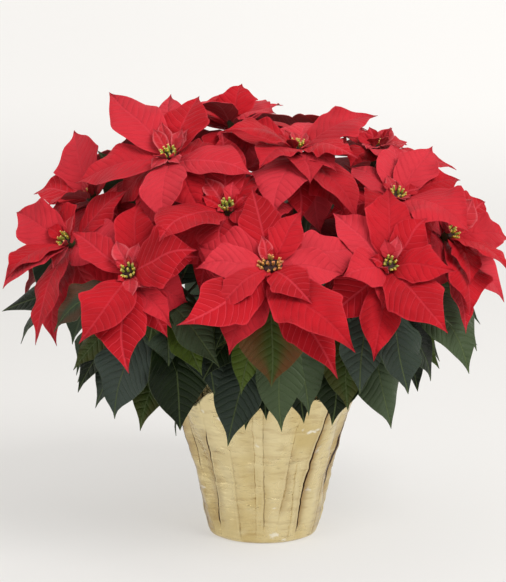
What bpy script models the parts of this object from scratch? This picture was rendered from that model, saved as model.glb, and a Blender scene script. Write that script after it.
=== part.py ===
"""Potted red poinsettia: foil wrap, grower pot, soil, three leafy plants and their blooms.

Metres, +Z up, the front towards -Y. The origin is the centre of the foil's flat base.
"""

from math import cos, pi, radians, sin
from random import Random
from typing import NamedTuple

import bmesh
import bpy
from mathutils import Matrix, Quaternion, Vector
from mathutils.bvhtree import BVHTree

MM = 0.001
NEARLY_LEVEL = 0.25
NEARLY_PARALLEL = 0.2
SEAT = 0.3
"""Gap in mm that touching pieces keep."""

SEED = 1214

# Foil wrap, pot and soil, in mm
FOIL_PROFILE = (
    (0.0, 56.0),
    (2.5, 61.0),
    (24.0, 66.0),
    (72.0, 75.0),
    (104.0, 84.0),
    (136.0, 95.0),
    (160.0, 105.0),
)
"""Height and mean radius of the foil, from its base to its rim."""

FOIL_THICKNESS = 0.8
FOIL_STEPS = 36
FOIL_PLEATS = 9
FOIL_PLEAT_DEPTH = 1.9
FOIL_PLEAT_DEPTH_AT_BASE = 0.35
FOIL_PLEAT_TWIST = 0.02
FOIL_CRINKLES = 17
FOIL_CRINKLE_DEPTH = 1.1
FOIL_CRINKLE_TWIST = 0.045
FOIL_CALM_HEIGHT = 60.0
FOIL_FLARE_START = 100.0
FOIL_FLARE_HEIGHT = 60.0
FOIL_RUFFLES = 7
FOIL_RUFFLE_DEPTH = 3.0
FOIL_RIM_WAVES = 5
FOIL_RIM_WAVE_HEIGHT = 4.0
POT_HEIGHT = 138.0
POT_BASE_RADIUS = 54.0
POT_TOP_RADIUS = 78.0
POT_WALL = 2.0
POT_LIP = 2.2
POT_LIP_HEIGHT = 14.0
POT_STEPS = 24
SOIL_DEPTH_BELOW_RIM = 12.0
SOIL_HEAP = 3.0
SOIL_GAP = 0.45
STEM_HOLE_DEPTH = 45.0
STEM_HOLE_GAP = 0.36

# Stems and blooms, in mm
TRUNK_RADIUS = 6.0
TRUNK_SIDES_RESOLUTION = 1
TRUNK_TOP = 205.0
BRANCH_RADIUS = 3.4
BRANCH_TIP_RADIUS = 2.8
BRANCH_STEPS = 3
BRANCH_DEPTH_IN_TRUNK = 8.0
BRANCH_NECK = 6.0
BRANCH_RISE = 0.29
BRANCH_SPREAD = 0.16
BRANCH_APPROACH = 0.34
"""The bends of a branch, as shares of its reach: up and outwards at its foot, and at its bloom."""

RECEPTACLE_HEIGHT = 16.0
RECEPTACLE_FOOT_RADIUS = 3.4
RECEPTACLE_TOP_RADIUS = 7.0
RECEPTACLE_SIDES = 6
LOWEST_BRACT = 13.0
HIGHEST_BRACT = 6.0
LOWEST_INNER_BRACT = 5.0
HIGHEST_INNER_BRACT = 3.0
BRACT_ROOT = 2.5
CUP_RADIUS = 2.3
CUP_FOOT_RADIUS = 1.7
CUP_HEIGHT = 6.5
CUP_EXTRA_HEIGHT = 1.5
CUP_SIDES = 4
CUP_LEAN = 4.5
CUP_SPREAD = 4.0
CUP_SPREAD_IF_FEW = 3.0
FEW_CUPS = 3
CUSHION_RADIUS = 5.0
CUSHION_RADIUS_IF_FEW = 3.5
CUSHION_TAPER = 0.6
CUSHION_HEIGHT = 2.4
CUSHION_SIDES = 5

# Blades, in mm
BLADE_THICKNESS = 0.8
CLEARANCE = 0.5
PETIOLE_HALF_WIDTH = 2.0
OUTLINE_RISE = 0.8
OUTLINE_FALL = 1.15
"""The powers of the blade's outline towards its root and its tip."""

FOLD = 0.10
WAVE = 0.06
WAVE_TURNS = 9.0
WAVE_SHIFT = 1.9
"""The blade's fold and waves, as shares of its half width, and how far the halves' waves differ."""

BROAD_ROWS = (0.0, 0.12, 0.38, 0.70, 1.0)
BRACT_ROWS = (0.0, 0.34, 0.70, 1.0)
LEAF_ROWS = (0.0, 0.26, 0.48, 0.76, 1.0)
BRACT_STALK = 0.05
LEAF_STALK = 0.24
RING_BRACT_TURN = 8.0
RING_BRACT_LIFT = 7.0
RING_BRACT_REACH = (0.88, 1.08)
RING_BRACT_WIDTH = (0.40, 0.50)
RING_BRACT_BOW = (8.0, 14.0)
RING_LEAF_LENGTHS = (138.0, 168.0)
RING_LEAF_WIDTHS = (50.0, 62.0)
RING_LEAF_BOW = 22.0
RING_LEAF_STEP = 34.0
RING_LEAF_TURN = 10.0
RING_LEAF_DROOP = (22.0, 44.0)
RING_LEAF_SPAN = 0.44
LEAF_FACES_OUT = 0.7
LEAF_FACES_UP = 0.8
LEAF_FACES_FRONT = 0.8
BROAD_BRACT_LENGTH = 104.0
INNER_BRACT_LENGTH = 48.0
INNER_ROOT = 3.5
INNER_LIFT = 5.0
ROOT_ZONE = 8.0
INNER_RANK = 10.0

# Bends that a blade tries until it is clear of its neighbours, in degrees and as a share
LIFTS = (0, -3, 3, -6, 6, -10, 10, -14, 14, -19, 19, -25, 25, -32, 32, 40, 48)
SWINGS = (0, -4, 4, -9, 9)
SWING_WEIGHT = 1.5
SHORTER = 0.8
SHORTEST = 0.6


class Blade(NamedTuple):
    """A bract or leaf: tip as (across, back, up), width, and its bow towards its face and aside."""

    tip: tuple
    width: float
    bow: float = 8.0
    side: float = 0.0
    roll: float = 0.0


class Ring(NamedTuple):
    """A whorl of like bracts: how many, first clock angle, step, lift and length."""

    count: int
    start: float
    step: float
    lift: float
    length: float


class Bloom(NamedTuple):
    """A bloom: centre in mm, the way it faces as (azimuth, elevation), and its bracts.

    The stretch makes its cluster of cups wider across than up.
    """

    name: str
    plant: str
    centre: tuple
    facing: tuple
    cups: int
    bracts: tuple
    rings: tuple = ()
    stretch: float = 1.0


class Leaf(NamedTuple):
    """A leaf: the bloom whose branch bears it, how far along, and its blade in the pot's frame."""

    branch: str
    along: float
    blade: Blade


PLANTS = {
    "left": (-27.0, -14.0),
    "right": (27.0, -14.0),
    "back": (0.0, 30.0),
}

BLOOMS = (
    Bloom("01", "right", (6, -200, 319), (0, 30), 9, (
        Blade((-18, 59, 72), 38, 8),
        Blade((28, 36, 42), 26, 5),
        Blade((90, 51, 14), 46, 12),
        Blade((78, -84, -72), 52, 16, 6),
        Blade((-89, -58, -50), 46, 9, -8),
        Blade((-38, -60, -63), 46, 10, 6),
        Blade((37, -45, -58), 24, 8),
        Blade((62, -74, -95), 40, 6),
        Blade((22, -45, -50), 26, 8),
        Blade((-60, -36, 10), 36, 14),
        Blade((-50, -58, -22), 24, 20),
        Blade((-70, 40, 11), 46, 12),
        Blade((60, 50, 25), 44, 12),
        Blade((-9, 14, 26), 14, 3),
    ), (Ring(3, 20, 60, 8, 72),), 1.7),
    Bloom("02", "left", (-134, -170, 309), (-6, 28), 6, (
        Blade((9, 52, 68), 38, 8),
        Blade((34, 54, 52), 34, 6),
        Blade((-62, 40, 39), 28, 6),
        Blade((-44, -62, -62), 46, 12, -4),
        Blade((3, -62, -88), 42, 12, 5),
        Blade((69, -38, 26), 48, 12),
        Blade((43, -45, -47), 24, 6),
        Blade((57, 30, -34), 38, 8),
        Blade((-13, 26, 27), 17, 4),
        Blade((10, 21, 25), 14, 4),
        Blade((23, -14, -16), 16, 4),
        Blade((4, -24, -29), 16, 4),
    ), (Ring(2, 80, 60, -8, 78),)),
    Bloom("03", "right", (124, -170, 316), (8, 30), 6, (
        Blade((2, 51, 74), 44, 10),
        Blade((-24, 41, 39), 34, 6),
        Blade((52, -44, 8), 38, 12),
        Blade((51, -66, -58), 50, 14, 4),
        Blade((-8, -32, -37), 24, 5),
        Blade((-18, -58, -84), 36, 6),
        Blade((-48, -30, -8), 40, 10),
        Blade((40, 30, 44), 34, 8),
        Blade((-26, 50, 26), 34, 8),
        Blade((8, 18, 26), 14, 4),
    ), (Ring(3, 240, 40, -20, 84),)),
    Bloom("04", "left", (-37, -130, 370), (-10, 50), 5, (
        Blade((-6, 62, 73), 42, 8),
        Blade((-44, 36, 26), 28, 6),
        Blade((-25, 29, 26), 20, 4),
        Blade((30, 38, 32), 26, 6),
        Blade((-66, -72, -37), 58, 12, 6),
        Blade((-14, -52, -50), 42, 12),
        Blade((44, -36, -12), 34, 8),
        Blade((-29, 20, -88), 42, 10),
        Blade((-60, 35, -73), 42, 10),
    ), (Ring(5, 60, 62, -34, 84),)),
    Bloom("05", "left", (-97, -90, 422), (-25, 50), 6, (
        Blade((-68, 70, 64), 46, 8),
        Blade((29, 62, 60), 44, 8),
        Blade((-4, 84, 66), 40, 6),
        Blade((-101, 30, -31), 52, 12),
        Blade((10, -62, -66), 46, 14),
        Blade((60, 44, -14), 42, 16),
        Blade((-8, 27, 30), 15, 4),
        Blade((20, 19, 22), 15, 4),
        Blade((-17, 21, 22), 14, 4),
        Blade((-17, -17, -10), 16, 5),
        Blade((8, -16, -8), 14, 4),
    ), (Ring(5, 95, 50, -38, 92),)),
    Bloom("06", "right", (35, -60, 429), (0, 68), 6, (
        Blade((-40, -66, -20), 44, 14),
        Blade((-26, -80, -68), 50, 16),
        Blade((12, -62, -42), 36, 12),
        Blade((40, -46, -24), 32, 12),
        Blade((60, -58, -73), 46, 16),
        Blade((62, -50, -14), 40, 14),
        Blade((88, 42, 32), 46, 12),
        Blade((15, 70, 36), 42, 10),
        Blade((-81, 62, 30), 48, 10),
        Blade((-78, -44, 14), 42, 14),
        Blade((49, -30, -69), 40, 12),
        Blade((-13, 18, 13), 13, 3),
        Blade((10, 19, 14), 13, 3),
        Blade((-9, -22, -12), 14, 4),
        Blade((14, -17, -3), 13, 4),
    ), (Ring(5, 105, 45, -42, 96),)),
    Bloom("07", "right", (139, -80, 379), (22, 50), 5, (
        Blade((68, -62, -33), 60, 16),
        Blade((42, 52, 50), 38, 8),
        Blade((71, 40, 14), 40, 10),
        Blade((2, 60, 62), 38, 8),
        Blade((-46, 48, 30), 42, 10),
        Blade((31, -48, -45), 42, 10),
        Blade((-40, -40, -16), 34, 8),
        Blade((56, 38, 16), 34, 8),
        Blade((-11, 20, 16), 14, 3),
        Blade((12, -16, -8), 14, 4),
    ), (Ring(5, 150, 45, -34, 90),)),
    Bloom("08", "left", (-205, -90, 333), (-48, 32), 4, (
        Blade((-58, 46, 26), 44, 10),
        Blade((-58, -50, 10), 42, 12),
        Blade((-62, -50, -36), 40, 10),
        Blade((-27, -50, -102), 42, 14, -4),
        Blade((-6, -44, -104), 44, 10, 4),
        Blade((-14, 46, 38), 38, 8),
        Blade((34, -36, -18), 30, 8),
        Blade((-14, -22, -18), 15, 4),
        Blade((12, -10, 26), 14, 4),
    ), (Ring(4, 30, 40, -20, 80),)),
    Bloom("09", "right", (195, -80, 339), (48, 32), 4, (
        Blade((44, 54, 30), 44, 10),
        Blade((62, 36, -16), 42, 12),
        Blade((48, -52, -54), 42, 12),
        Blade((24, -50, -36), 34, 12),
        Blade((18, -54, -76), 44, 12),
        Blade((12, -46, -98), 34, 6),
        Blade((14, 34, 48), 38, 8),
        Blade((23, 20, 34), 34, 8),
        Blade((-12, -20, -56), 36, 10),
        Blade((14, -20, -10), 15, 4),
    ), (Ring(4, 250, 40, -18, 80),)),
    Bloom("10", "left", (-187, -20, 376), (-62, 52), 3, (
        Blade((-66, 40, -2), 44, 10),
        Blade((-54, 54, 18), 40, 8),
        Blade((-22, 54, 68), 46, 10),
        Blade((36, -42, -20), 38, 10),
        Blade((-40, -48, -10), 36, 10),
        Blade((34, 20, 47), 44, 8),
    ), (Ring(5, 40, 55, -22, 88),)),
    Bloom("11", "back", (-34, 40, 455), (-10, 82), 3, (
        Blade((-10, 62, 30), 46, 10),
        Blade((14, 48, 27), 40, 8),
        Blade((38, 58, 22), 40, 8),
        Blade((56, 56, 24), 34, 8),
        Blade((-34, -50, 18), 42, 12),
        Blade((-66, 24, 10), 46, 12),
        Blade((48, -44, 8), 38, 10),
        Blade((-60, 62, 4), 44, 12),
        Blade((15, -45, -31), 46, 12),
        Blade((-19, -42, -36), 42, 12),
    )),
    Bloom("12", "back", (125, 20, 428), (20, 66), 3, (
        Blade((-15, 23, 12), 20, 4),
        Blade((18, 22, 12), 20, 4),
        Blade((20, -19, -4), 20, 4),
        Blade((-14, -20, -8), 20, 4),
        Blade((30, 8, 16), 28, 6),
        Blade((-31, -35, -23), 42, 10),
        Blade((12, -58, -24), 44, 10),
        Blade((-30, 74, 14), 42, 10),
        Blade((44, -48, -28), 38, 8),
        Blade((24, 78, 4), 42, 10),
    )),
    Bloom("13", "left", (-128, 88, 402), (-140, 58), 3, (), (Ring(7, 0, 51, 6, 106),)),
    Bloom("14", "back", (72, 104, 423), (155, 68), 3, (), (Ring(7, 40, 51, 6, 106),)),
    Bloom("15", "left", (-212, 92, 322), (-112, 36), 3, (), (Ring(7, 10, 51, 4, 102),)),
    Bloom("16", "right", (196, 62, 338), (106, 40), 3, (), (Ring(8, 25, 45, 4, 104),)),
    Bloom("17", "back", (-98, 190, 330), (-150, 36), 3, (), (Ring(8, 5, 45, 4, 108),)),
    Bloom("18", "back", (44, 212, 326), (178, 34), 3, (), (Ring(8, 30, 45, 4, 106),)),
    Bloom("19", "back", (150, 160, 330), (138, 36), 3, (), (Ring(8, 15, 45, 4, 106),)),
    Bloom("20", "back", (52, 14, 440), (0, 86), 3, (), (Ring(7, 10, 51, 0, 76),)),
)

LEAVES = (
    Leaf("08", 0.62, Blade((-281, -40, 252), 46, 14)),
    Leaf("08", 0.50, Blade((-202, -70, 193), 42, 16)),
    Leaf("02", 0.86, Blade((-212, -150, 246), 42, 22)),
    Leaf("02", 0.45, Blade((-178, -80, 154), 50, 22)),
    Leaf("02", 0.58, Blade((-155, -112, 149), 62, 24)),
    Leaf("02", 0.36, Blade((-129, -106, 135), 46, 18)),
    Leaf("02", 0.30, Blade((-92, -98, 128), 30, 10, 0, 70)),
    Leaf("02", 0.68, Blade((-86, -128, 140), 58, 22)),
    Leaf("02", 0.80, Blade((-42, -186, 229), 38, 16)),
    Leaf("02", 0.74, Blade((-62, -156, 202), 36, 14)),
    Leaf("02", 0.52, Blade((-52, -136, 172), 46, 22)),
    Leaf("01", 0.50, Blade((-62, -150, 196), 44, 20)),
    Leaf("01", 0.46, Blade((-37, -140, 126), 52, 22)),
    Leaf("01", 0.38, Blade((-19, -126, 140), 38, 16)),
    Leaf("01", 0.64, Blade((-23, -168, 185), 32, 14)),
    Leaf("01", 0.86, Blade((7, -200, 199), 58, 16)),
    Leaf("01", 0.72, Blade((18, -168, 147), 42, 22)),
    Leaf("01", 0.54, Blade((46, -146, 159), 42, 18)),
    Leaf("03", 0.44, Blade((70, -132, 146), 54, 22)),
    Leaf("03", 0.56, Blade((86, -140, 163), 46, 20)),
    Leaf("03", 0.82, Blade((96, -168, 186), 40, 18)),
    Leaf("03", 0.52, Blade((133, -110, 138), 52, 22)),
    Leaf("03", 0.66, Blade((175, -96, 186), 46, 20)),
    Leaf("09", 0.46, Blade((186, -78, 196), 46, 18)),
    Leaf("09", 0.70, Blade((214, -104, 195), 58, 22)),
    Leaf("09", 0.86, Blade((228, -112, 252), 42, 18)),
    Leaf("02", 0.70, Blade((-102, -118, 200), 44, 16)),
    Leaf("01", 0.62, Blade((-53, -122, 175), 44, 18)),
    Leaf("01", 0.40, Blade((4, -122, 146), 40, 18)),
    Leaf("01", 0.44, Blade((35, -124, 146), 40, 18)),
    Leaf("02", 0.84, Blade((-58, -150, 233), 40, 14)),
    Leaf("02", 0.64, Blade((-62, -128, 178), 46, 16)),
    Leaf("01", 0.70, Blade((-44, -134, 190), 40, 12)),
    Leaf("01", 0.80, Blade((-26, -150, 228), 40, 14)),
    Leaf("02", 0.78, Blade((-116, -140, 231), 40, 14)),
)

LEAF_RINGS = {
    "05": (2, -100, 0.45),
    "10": (3, -95, 0.40),
    "07": (2, 80, 0.45),
    "13": (3, -140, 0.42),
    "14": (3, 178, 0.42),
    "15": (4, -112, 0.40),
    "16": (6, 96, 0.36),
    "17": (4, -155, 0.40),
    "18": (4, 182, 0.40),
    "19": (4, 140, 0.40),
}
"""Leaves of the hidden sides: count, middle azimuth and the lowest leaf's place on the branch."""

FILL_BRACTS = (
    ("11", Blade((46, -31, -82), 45, 8)),
    ("09", Blade((59, 8, -73), 45, 8)),
    ("06", Blade((53, 53, -66), 48, 8)),
    ("11", Blade((-51, 29, -14), 27, 8)),
    ("12", Blade((39, 43, -37), 35, 8)),
    ("12", Blade((90, 15, -28), 39, 8)),
)
"""Low bracts between the blooms, each with the bloom that bears it, placed after all others."""

FILL_LEAVES = (
    Leaf("16", 0.50, Blade((167, -44, 165), 58, 17)),
    Leaf("13", 0.85, Blade((-23, 163, 354), 53, 16)),
    Leaf("16", 0.65, Blade((139, 22, 406), 58, 15)),
    Leaf("08", 0.45, Blade((-53, -74, 367), 58, 14)),
    Leaf("13", 0.65, Blade((-183, 28, 422), 58, 17)),
    Leaf("17", 0.65, Blade((2, 148, 407), 58, 17)),
    Leaf("13", 0.85, Blade((-88, -26, 414), 44, 13)),
    Leaf("07", 0.75, Blade((-17, -101, 304), 58, 17)),
    Leaf("14", 0.85, Blade((-18, 81, 314), 47, 12)),
    Leaf("03", 0.65, Blade((193, -129, 249), 51, 13)),
    Leaf("10", 0.40, Blade((-26, 28, 388), 58, 17)),
    Leaf("06", 0.45, Blade((-19, -16, 175), 58, 16)),
    Leaf("13", 0.65, Blade((-213, 48, 325), 58, 15)),
    Leaf("03", 0.80, Blade((144, -174, 187), 58, 14)),
    Leaf("05", 0.30, Blade((-5, -29, 378), 52, 15)),
)
"""Leaves inside the crown, placed after all others."""

COLOURS = {
    "foil": (0.72, 0.60, 0.34, 0.32, 0.9),
    "pot": (0.05, 0.06, 0.05, 0.55, 0.0),
    "soil": (0.07, 0.05, 0.035, 0.95, 0.0),
    "green": (0.035, 0.09, 0.03, 0.55, 0.0),
    "bract": (0.62, 0.012, 0.03, 0.6, 0.0),
    "cyathia": (0.45, 0.5, 0.06, 0.5, 0.0),
}
"""Red, green, blue, roughness and metallic value of each material."""


def facing_vector(azimuth: float, elevation: float) -> Vector:
    """Unit vector for an azimuth from the front (-Y) towards +X, and an elevation."""
    a, e = radians(azimuth), radians(elevation)
    return Vector((sin(a) * cos(e), -cos(a) * cos(e), sin(e)))


def plane_axes(normal: Vector) -> tuple[Vector, Vector]:
    """The right and up directions of a bloom's plane, as seen by someone who faces it."""
    up = Vector((0, 0, 1)) - normal * normal.z
    if up.length < NEARLY_LEVEL:
        up = Vector((0, 1, 0)) - normal * normal.y
    up.normalize()
    return up.cross(normal).normalized(), up


def bow_axes(chord: Vector, facing: Vector, roll: float) -> tuple[Vector, Vector]:
    """The blade's face normal and its sideways direction, square to its chord."""
    along = chord.normalized()
    face = facing - along * facing.dot(along)
    if face.length < NEARLY_PARALLEL:
        face = Vector((0, -1, 0)) - along * -along.y
    face.normalize()
    face.rotate(Quaternion(along, radians(roll)))
    return face, along.cross(face)


def outline(t: float, stalk: float) -> float:
    """Half width of a blade at t of its length, as a share of its widest."""
    if t <= stalk:
        return 0.0
    s = (t - stalk) / (1.0 - stalk)
    widest = OUTLINE_RISE / (OUTLINE_RISE + OUTLINE_FALL)
    peak = widest**OUTLINE_RISE * (1.0 - widest) ** OUTLINE_FALL
    return s**OUTLINE_RISE * (1.0 - s) ** OUTLINE_FALL / peak


class Placement(NamedTuple):
    """A blade where it grows: root and tip in mm, the way its face looks, and its shape."""

    root: Vector
    tip: Vector
    facing: Vector
    width: float
    bow: float
    side: float
    roll: float
    rows: tuple
    columns: int
    stalk: float
    phase: float
    by_hand: bool


def surface_point(blade: Placement, u: float, t: float) -> Vector:
    """A point of the blade's middle surface, u from -1 to 1 across and t from root to tip."""
    chord = blade.tip - blade.root
    face, aside = bow_axes(chord, blade.facing, blade.roll)
    hump = 4.0 * t * (1.0 - t)
    slope = 4.0 * (1.0 - 2.0 * t)
    middle = blade.root + chord * t + face * (blade.bow * hump) + aside * (blade.side * hump)
    tangent = (chord + face * (blade.bow * slope) + aside * (blade.side * slope)).normalized()
    across = tangent.cross(face).normalized()
    lift = across.cross(tangent)
    half = max(outline(t, blade.stalk) * blade.width / 2.0, PETIOLE_HALF_WIDTH * (1.0 - t))
    opened = min(1.0, 3.0 * t * t)
    turn = WAVE_TURNS * t + blade.phase + (WAVE_SHIFT if u > 0 else 0.0)
    rise = abs(u) * half * opened * (FOLD + WAVE * sin(turn))
    return middle + across * (u * half) + lift * rise


def blade_surface(blade: Placement, skip: float = 0.0) -> bmesh.types.BMesh:
    """The blade's middle surface: a grid laid on the blade's form, its last row drawn to the tip.

    A skip leaves out that many mm next to the root.
    """
    rows = blade.rows
    bm = bmesh.new()
    bmesh.ops.create_grid(bm, x_segments=blade.columns, y_segments=len(rows) - 1, size=1.0)
    for vert in bm.verts:
        u = round(vert.co.x)
        row = round((vert.co.y + 1.0) / 2.0 * (len(rows) - 1))
        point = surface_point(blade, u, rows[row])
        if row == 0 and skip:
            following = surface_point(blade, u, rows[1])
            point = point.lerp(following, min(0.9, skip / (following - point).length))
        vert.co = point * MM
    bmesh.ops.remove_doubles(bm, verts=bm.verts, dist=0.05 * MM)
    bmesh.ops.triangulate(bm, faces=bm.faces)
    bmesh.ops.recalc_face_normals(bm, faces=bm.faces)
    return bm


def blade_solid(blade: Placement, thickness: float, skip: float = 0.0) -> bmesh.types.BMesh:
    """The blade as a closed solid of even thickness, with like triangles on both faces."""
    bm = blade_surface(blade, skip)
    bm.normal_update()
    for vert in bm.verts:
        vert.co = vert.co + vert.normal * (thickness / 2.0 * MM)
    bmesh.ops.solidify(bm, geom=bm.faces[:], thickness=thickness * MM)
    bmesh.ops.recalc_face_normals(bm, faces=bm.faces)
    return bm


class Registry:
    """The solids already placed, and the tests that keep a new blade clear of them."""

    def __init__(self):
        self.solids = []
        self.outers = []

    def add(self, node: str, solid: bmesh.types.BMesh, outer=None):
        """Keeps a solid of a node, and the surface that its own node's blades must not cross."""
        box = bounds(solid)
        self.solids.append((node, box, BVHTree.FromBMesh(solid)))
        if outer is not None:
            self.outers.append((node, bounds(outer), BVHTree.FromBMesh(outer)))

    def clear(self, node: str, solid: bmesh.types.BMesh, outer=None) -> bool:
        """Whether a solid misses every other node, and its outer part misses its own node's."""
        box = bounds(solid)
        tree = BVHTree.FromBMesh(solid)
        for other, other_box, other_tree in self.solids:
            if other != node and boxes_meet(box, other_box) and tree.overlap(other_tree):
                return False
        if outer is None:
            return True
        box = bounds(outer)
        tree = BVHTree.FromBMesh(outer)
        for other, other_box, other_tree in self.outers:
            if other == node and boxes_meet(box, other_box) and tree.overlap(other_tree):
                return False
        return True


def bounds(bm: bmesh.types.BMesh) -> tuple[Vector, Vector]:
    """The lowest and highest corner of a mesh."""
    points = [v.co for v in bm.verts]
    low = Vector([min(p[i] for p in points) for i in range(3)])
    high = Vector([max(p[i] for p in points) for i in range(3)])
    return low, high


def boxes_meet(a: tuple, b: tuple) -> bool:
    """Whether two boxes overlap."""
    return all(a[0][i] <= b[1][i] and b[0][i] <= a[1][i] for i in range(3))


def swung(blade: Placement, lift: float, swing: float, scale: float) -> Placement:
    """The blade turned about its root: lifted towards its face, swung aside and made shorter."""
    chord = blade.tip - blade.root
    face, aside = bow_axes(chord, blade.facing, 0.0)
    chord.rotate(Quaternion(aside, radians(-lift)))
    chord.rotate(Quaternion(face, radians(swing)))
    return blade._replace(tip=blade.root + chord * scale, width=blade.width * scale)


def settle_steps() -> list[tuple[float, float, float]]:
    """The bends that a blade tries, smallest first: lift, swing and scale."""
    bends = [(lift, swing) for lift in LIFTS for swing in SWINGS]
    bends.sort(key=lambda bend: abs(bend[0]) + SWING_WEIGHT * abs(bend[1]))
    full = [(lift, swing, 1.0) for lift, swing in bends]
    shorter = [(lift, swing, SHORTER) for lift, swing in bends[::2]]
    shortest = [(lift, swing, SHORTEST) for lift, swing in bends[::3]]
    return full + shorter + shortest


SETTLE_STEPS = settle_steps()


def settled(registry: Registry, node: str, blade: Placement) -> Placement | None:
    """The first bend of a blade that is clear of everything placed, or None.

    A blade set by hand that can't miss its own node's blades crosses them, and is fused there.
    """
    for crossing in (False, True)[: 1 + blade.by_hand]:
        for lift, swing, scale in SETTLE_STEPS:
            trial = swung(blade, lift, swing, scale)
            solid = blade_solid(trial, BLADE_THICKNESS + 2.0 * CLEARANCE)
            outer = None if crossing else blade_solid(trial, BLADE_THICKNESS, ROOT_ZONE)
            free = registry.clear(node, solid, outer)
            solid.free()
            if outer:
                outer.free()
            if free:
                return trial
    return None


def settle_all(registry: Registry, node: str, blades: list[Placement]) -> list[Placement]:
    """Places a node's blades one after another, and keeps each that finds a clear place."""
    kept = []
    for blade in blades:
        place = settled(registry, node, blade)
        if place is None:
            continue
        solid = blade_solid(place, BLADE_THICKNESS)
        outer = blade_solid(place, BLADE_THICKNESS, ROOT_ZONE)
        registry.add(node, solid, outer)
        solid.free()
        outer.free()
        kept.append(place)
    return kept


def material(name: str) -> bpy.types.Material:
    """The named finish as a Principled material."""
    red, green, blue, roughness, metallic = COLOURS[name]
    found = bpy.data.materials.get(name)
    if found:
        return found
    made = bpy.data.materials.new(name)
    made.use_nodes = True
    shader = made.node_tree.nodes["Principled BSDF"]
    shader.inputs["Base Color"].default_value = (red, green, blue, 1.0)
    shader.inputs["Roughness"].default_value = roughness
    shader.inputs["Metallic"].default_value = metallic
    made.diffuse_color = (red, green, blue, 1.0)
    return made


def new_object(name: str, mesh: bpy.types.Mesh, finish: str, home: bpy.types.Collection):
    """An object for a mesh, with its material, in a collection."""
    obj = bpy.data.objects.new(name, mesh)
    home.objects.link(obj)
    mesh.materials.clear()
    mesh.materials.append(material(finish))
    return obj


def object_from_bmesh(name: str, bm: bmesh.types.BMesh, finish: str, home: bpy.types.Collection):
    """An object for a bmesh, which is freed."""
    mesh = bpy.data.meshes.new(name)
    bm.to_mesh(mesh)
    bm.free()
    return new_object(name, mesh, finish, home)


def evaluated_mesh(obj: bpy.types.Object) -> bpy.types.Mesh:
    """A plain mesh of an object with its modifiers applied."""
    bpy.context.view_layer.update()
    graph = bpy.context.evaluated_depsgraph_get()
    return bpy.data.meshes.new_from_object(obj.evaluated_get(graph), depsgraph=graph)


def fuse(base: bpy.types.Object, others: list[bpy.types.Object], finish: str):
    """Joins a piece's repeats to it with one Boolean union, and removes them."""
    group = bpy.data.collections.new(base.name + "_repeats")
    bpy.context.scene.collection.children.link(group)
    for other in others:
        group.objects.link(other)
    union = base.modifiers.new("union", "BOOLEAN")
    union.operation = "UNION"
    union.operand_type = "COLLECTION"
    union.collection = group
    union.solver = "MANIFOLD"
    mesh = evaluated_mesh(base)
    base.modifiers.clear()
    base.data = mesh
    mesh.materials.clear()
    mesh.materials.append(material(finish))
    for other in others:
        bpy.data.objects.remove(other, do_unlink=True)
    bpy.data.collections.remove(group)


def tube_object(name: str, points: list[Vector], radii: list[float], resolution: int, home):
    """A closed round tube through points, made as a bevelled curve and then a mesh."""
    curve = bpy.data.curves.new(name, "CURVE")
    curve.dimensions = "3D"
    curve.bevel_depth = MM
    curve.bevel_resolution = resolution
    curve.use_fill_caps = True
    spline = curve.splines.new("POLY")
    spline.points.add(len(points) - 1)
    for place, point, radius in zip(spline.points, points, radii):
        place.co = (*(point * MM), 1.0)
        place.radius = radius
    guide = bpy.data.objects.new(name + "_curve", curve)
    home.objects.link(guide)
    mesh = evaluated_mesh(guide)
    bpy.data.objects.remove(guide, do_unlink=True)
    bm = bmesh.new()
    bm.from_mesh(mesh)
    bmesh.ops.remove_doubles(bm, verts=bm.verts, dist=0.01 * MM)
    bmesh.ops.recalc_face_normals(bm, faces=bm.faces)
    return object_from_bmesh(name, bm, "green", home)


def turned_object(name: str, profile: list[tuple[float, float]], steps: int, finish: str, home):
    """A turned solid: a closed run of (radius, height) points from the axis to the axis, in mm."""
    mesh = bpy.data.meshes.new(name)
    points = [(radius * MM, 0.0, height * MM) for radius, height in profile]
    mesh.from_pydata(points, [(i, i + 1) for i in range(len(points) - 1)], [])
    obj = new_object(name, mesh, finish, home)
    screw = obj.modifiers.new("turn", "SCREW")
    screw.axis = "Z"
    screw.steps = steps
    screw.render_steps = steps
    screw.use_merge_vertices = True
    screw.merge_threshold = 0.00002
    turned = evaluated_mesh(obj)
    obj.modifiers.clear()
    obj.data = turned
    return obj


def foil_radius(height: float) -> float:
    """The foil's mean radius at a height, along its profile."""
    for (low, start), (high, end) in zip(FOIL_PROFILE, FOIL_PROFILE[1:]):
        if height <= high:
            return start + (end - start) * (height - low) / (high - low)
    return FOIL_PROFILE[-1][1]


def foil_point(angle: float, height: float) -> Vector:
    """A point of the foil's outside, with its pleats and crinkles, which fade to the flat base."""
    radius = foil_radius(height)
    if height <= 0.0:
        return Vector((radius * cos(angle), radius * sin(angle), 0.0))
    rise = min(height / FOIL_CALM_HEIGHT, 1.0)
    flare = max(0.0, (height - FOIL_FLARE_START) / FOIL_FLARE_HEIGHT)
    depth = FOIL_PLEAT_DEPTH * (FOIL_PLEAT_DEPTH_AT_BASE + (1.0 - FOIL_PLEAT_DEPTH_AT_BASE) * rise)
    pleat = depth * sin(FOIL_PLEATS * angle + FOIL_PLEAT_TWIST * height)
    crinkle = FOIL_CRINKLE_DEPTH * rise * sin(FOIL_CRINKLES * angle + FOIL_CRINKLE_TWIST * height)
    ruffle = FOIL_RUFFLE_DEPTH * flare * sin(FOIL_RUFFLES * angle)
    reach = radius + pleat + crinkle + ruffle
    lift = -FOIL_RIM_WAVE_HEIGHT * flare * sin(FOIL_RIM_WAVES * angle)
    return Vector((reach * cos(angle), reach * sin(angle), height + lift))


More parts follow.
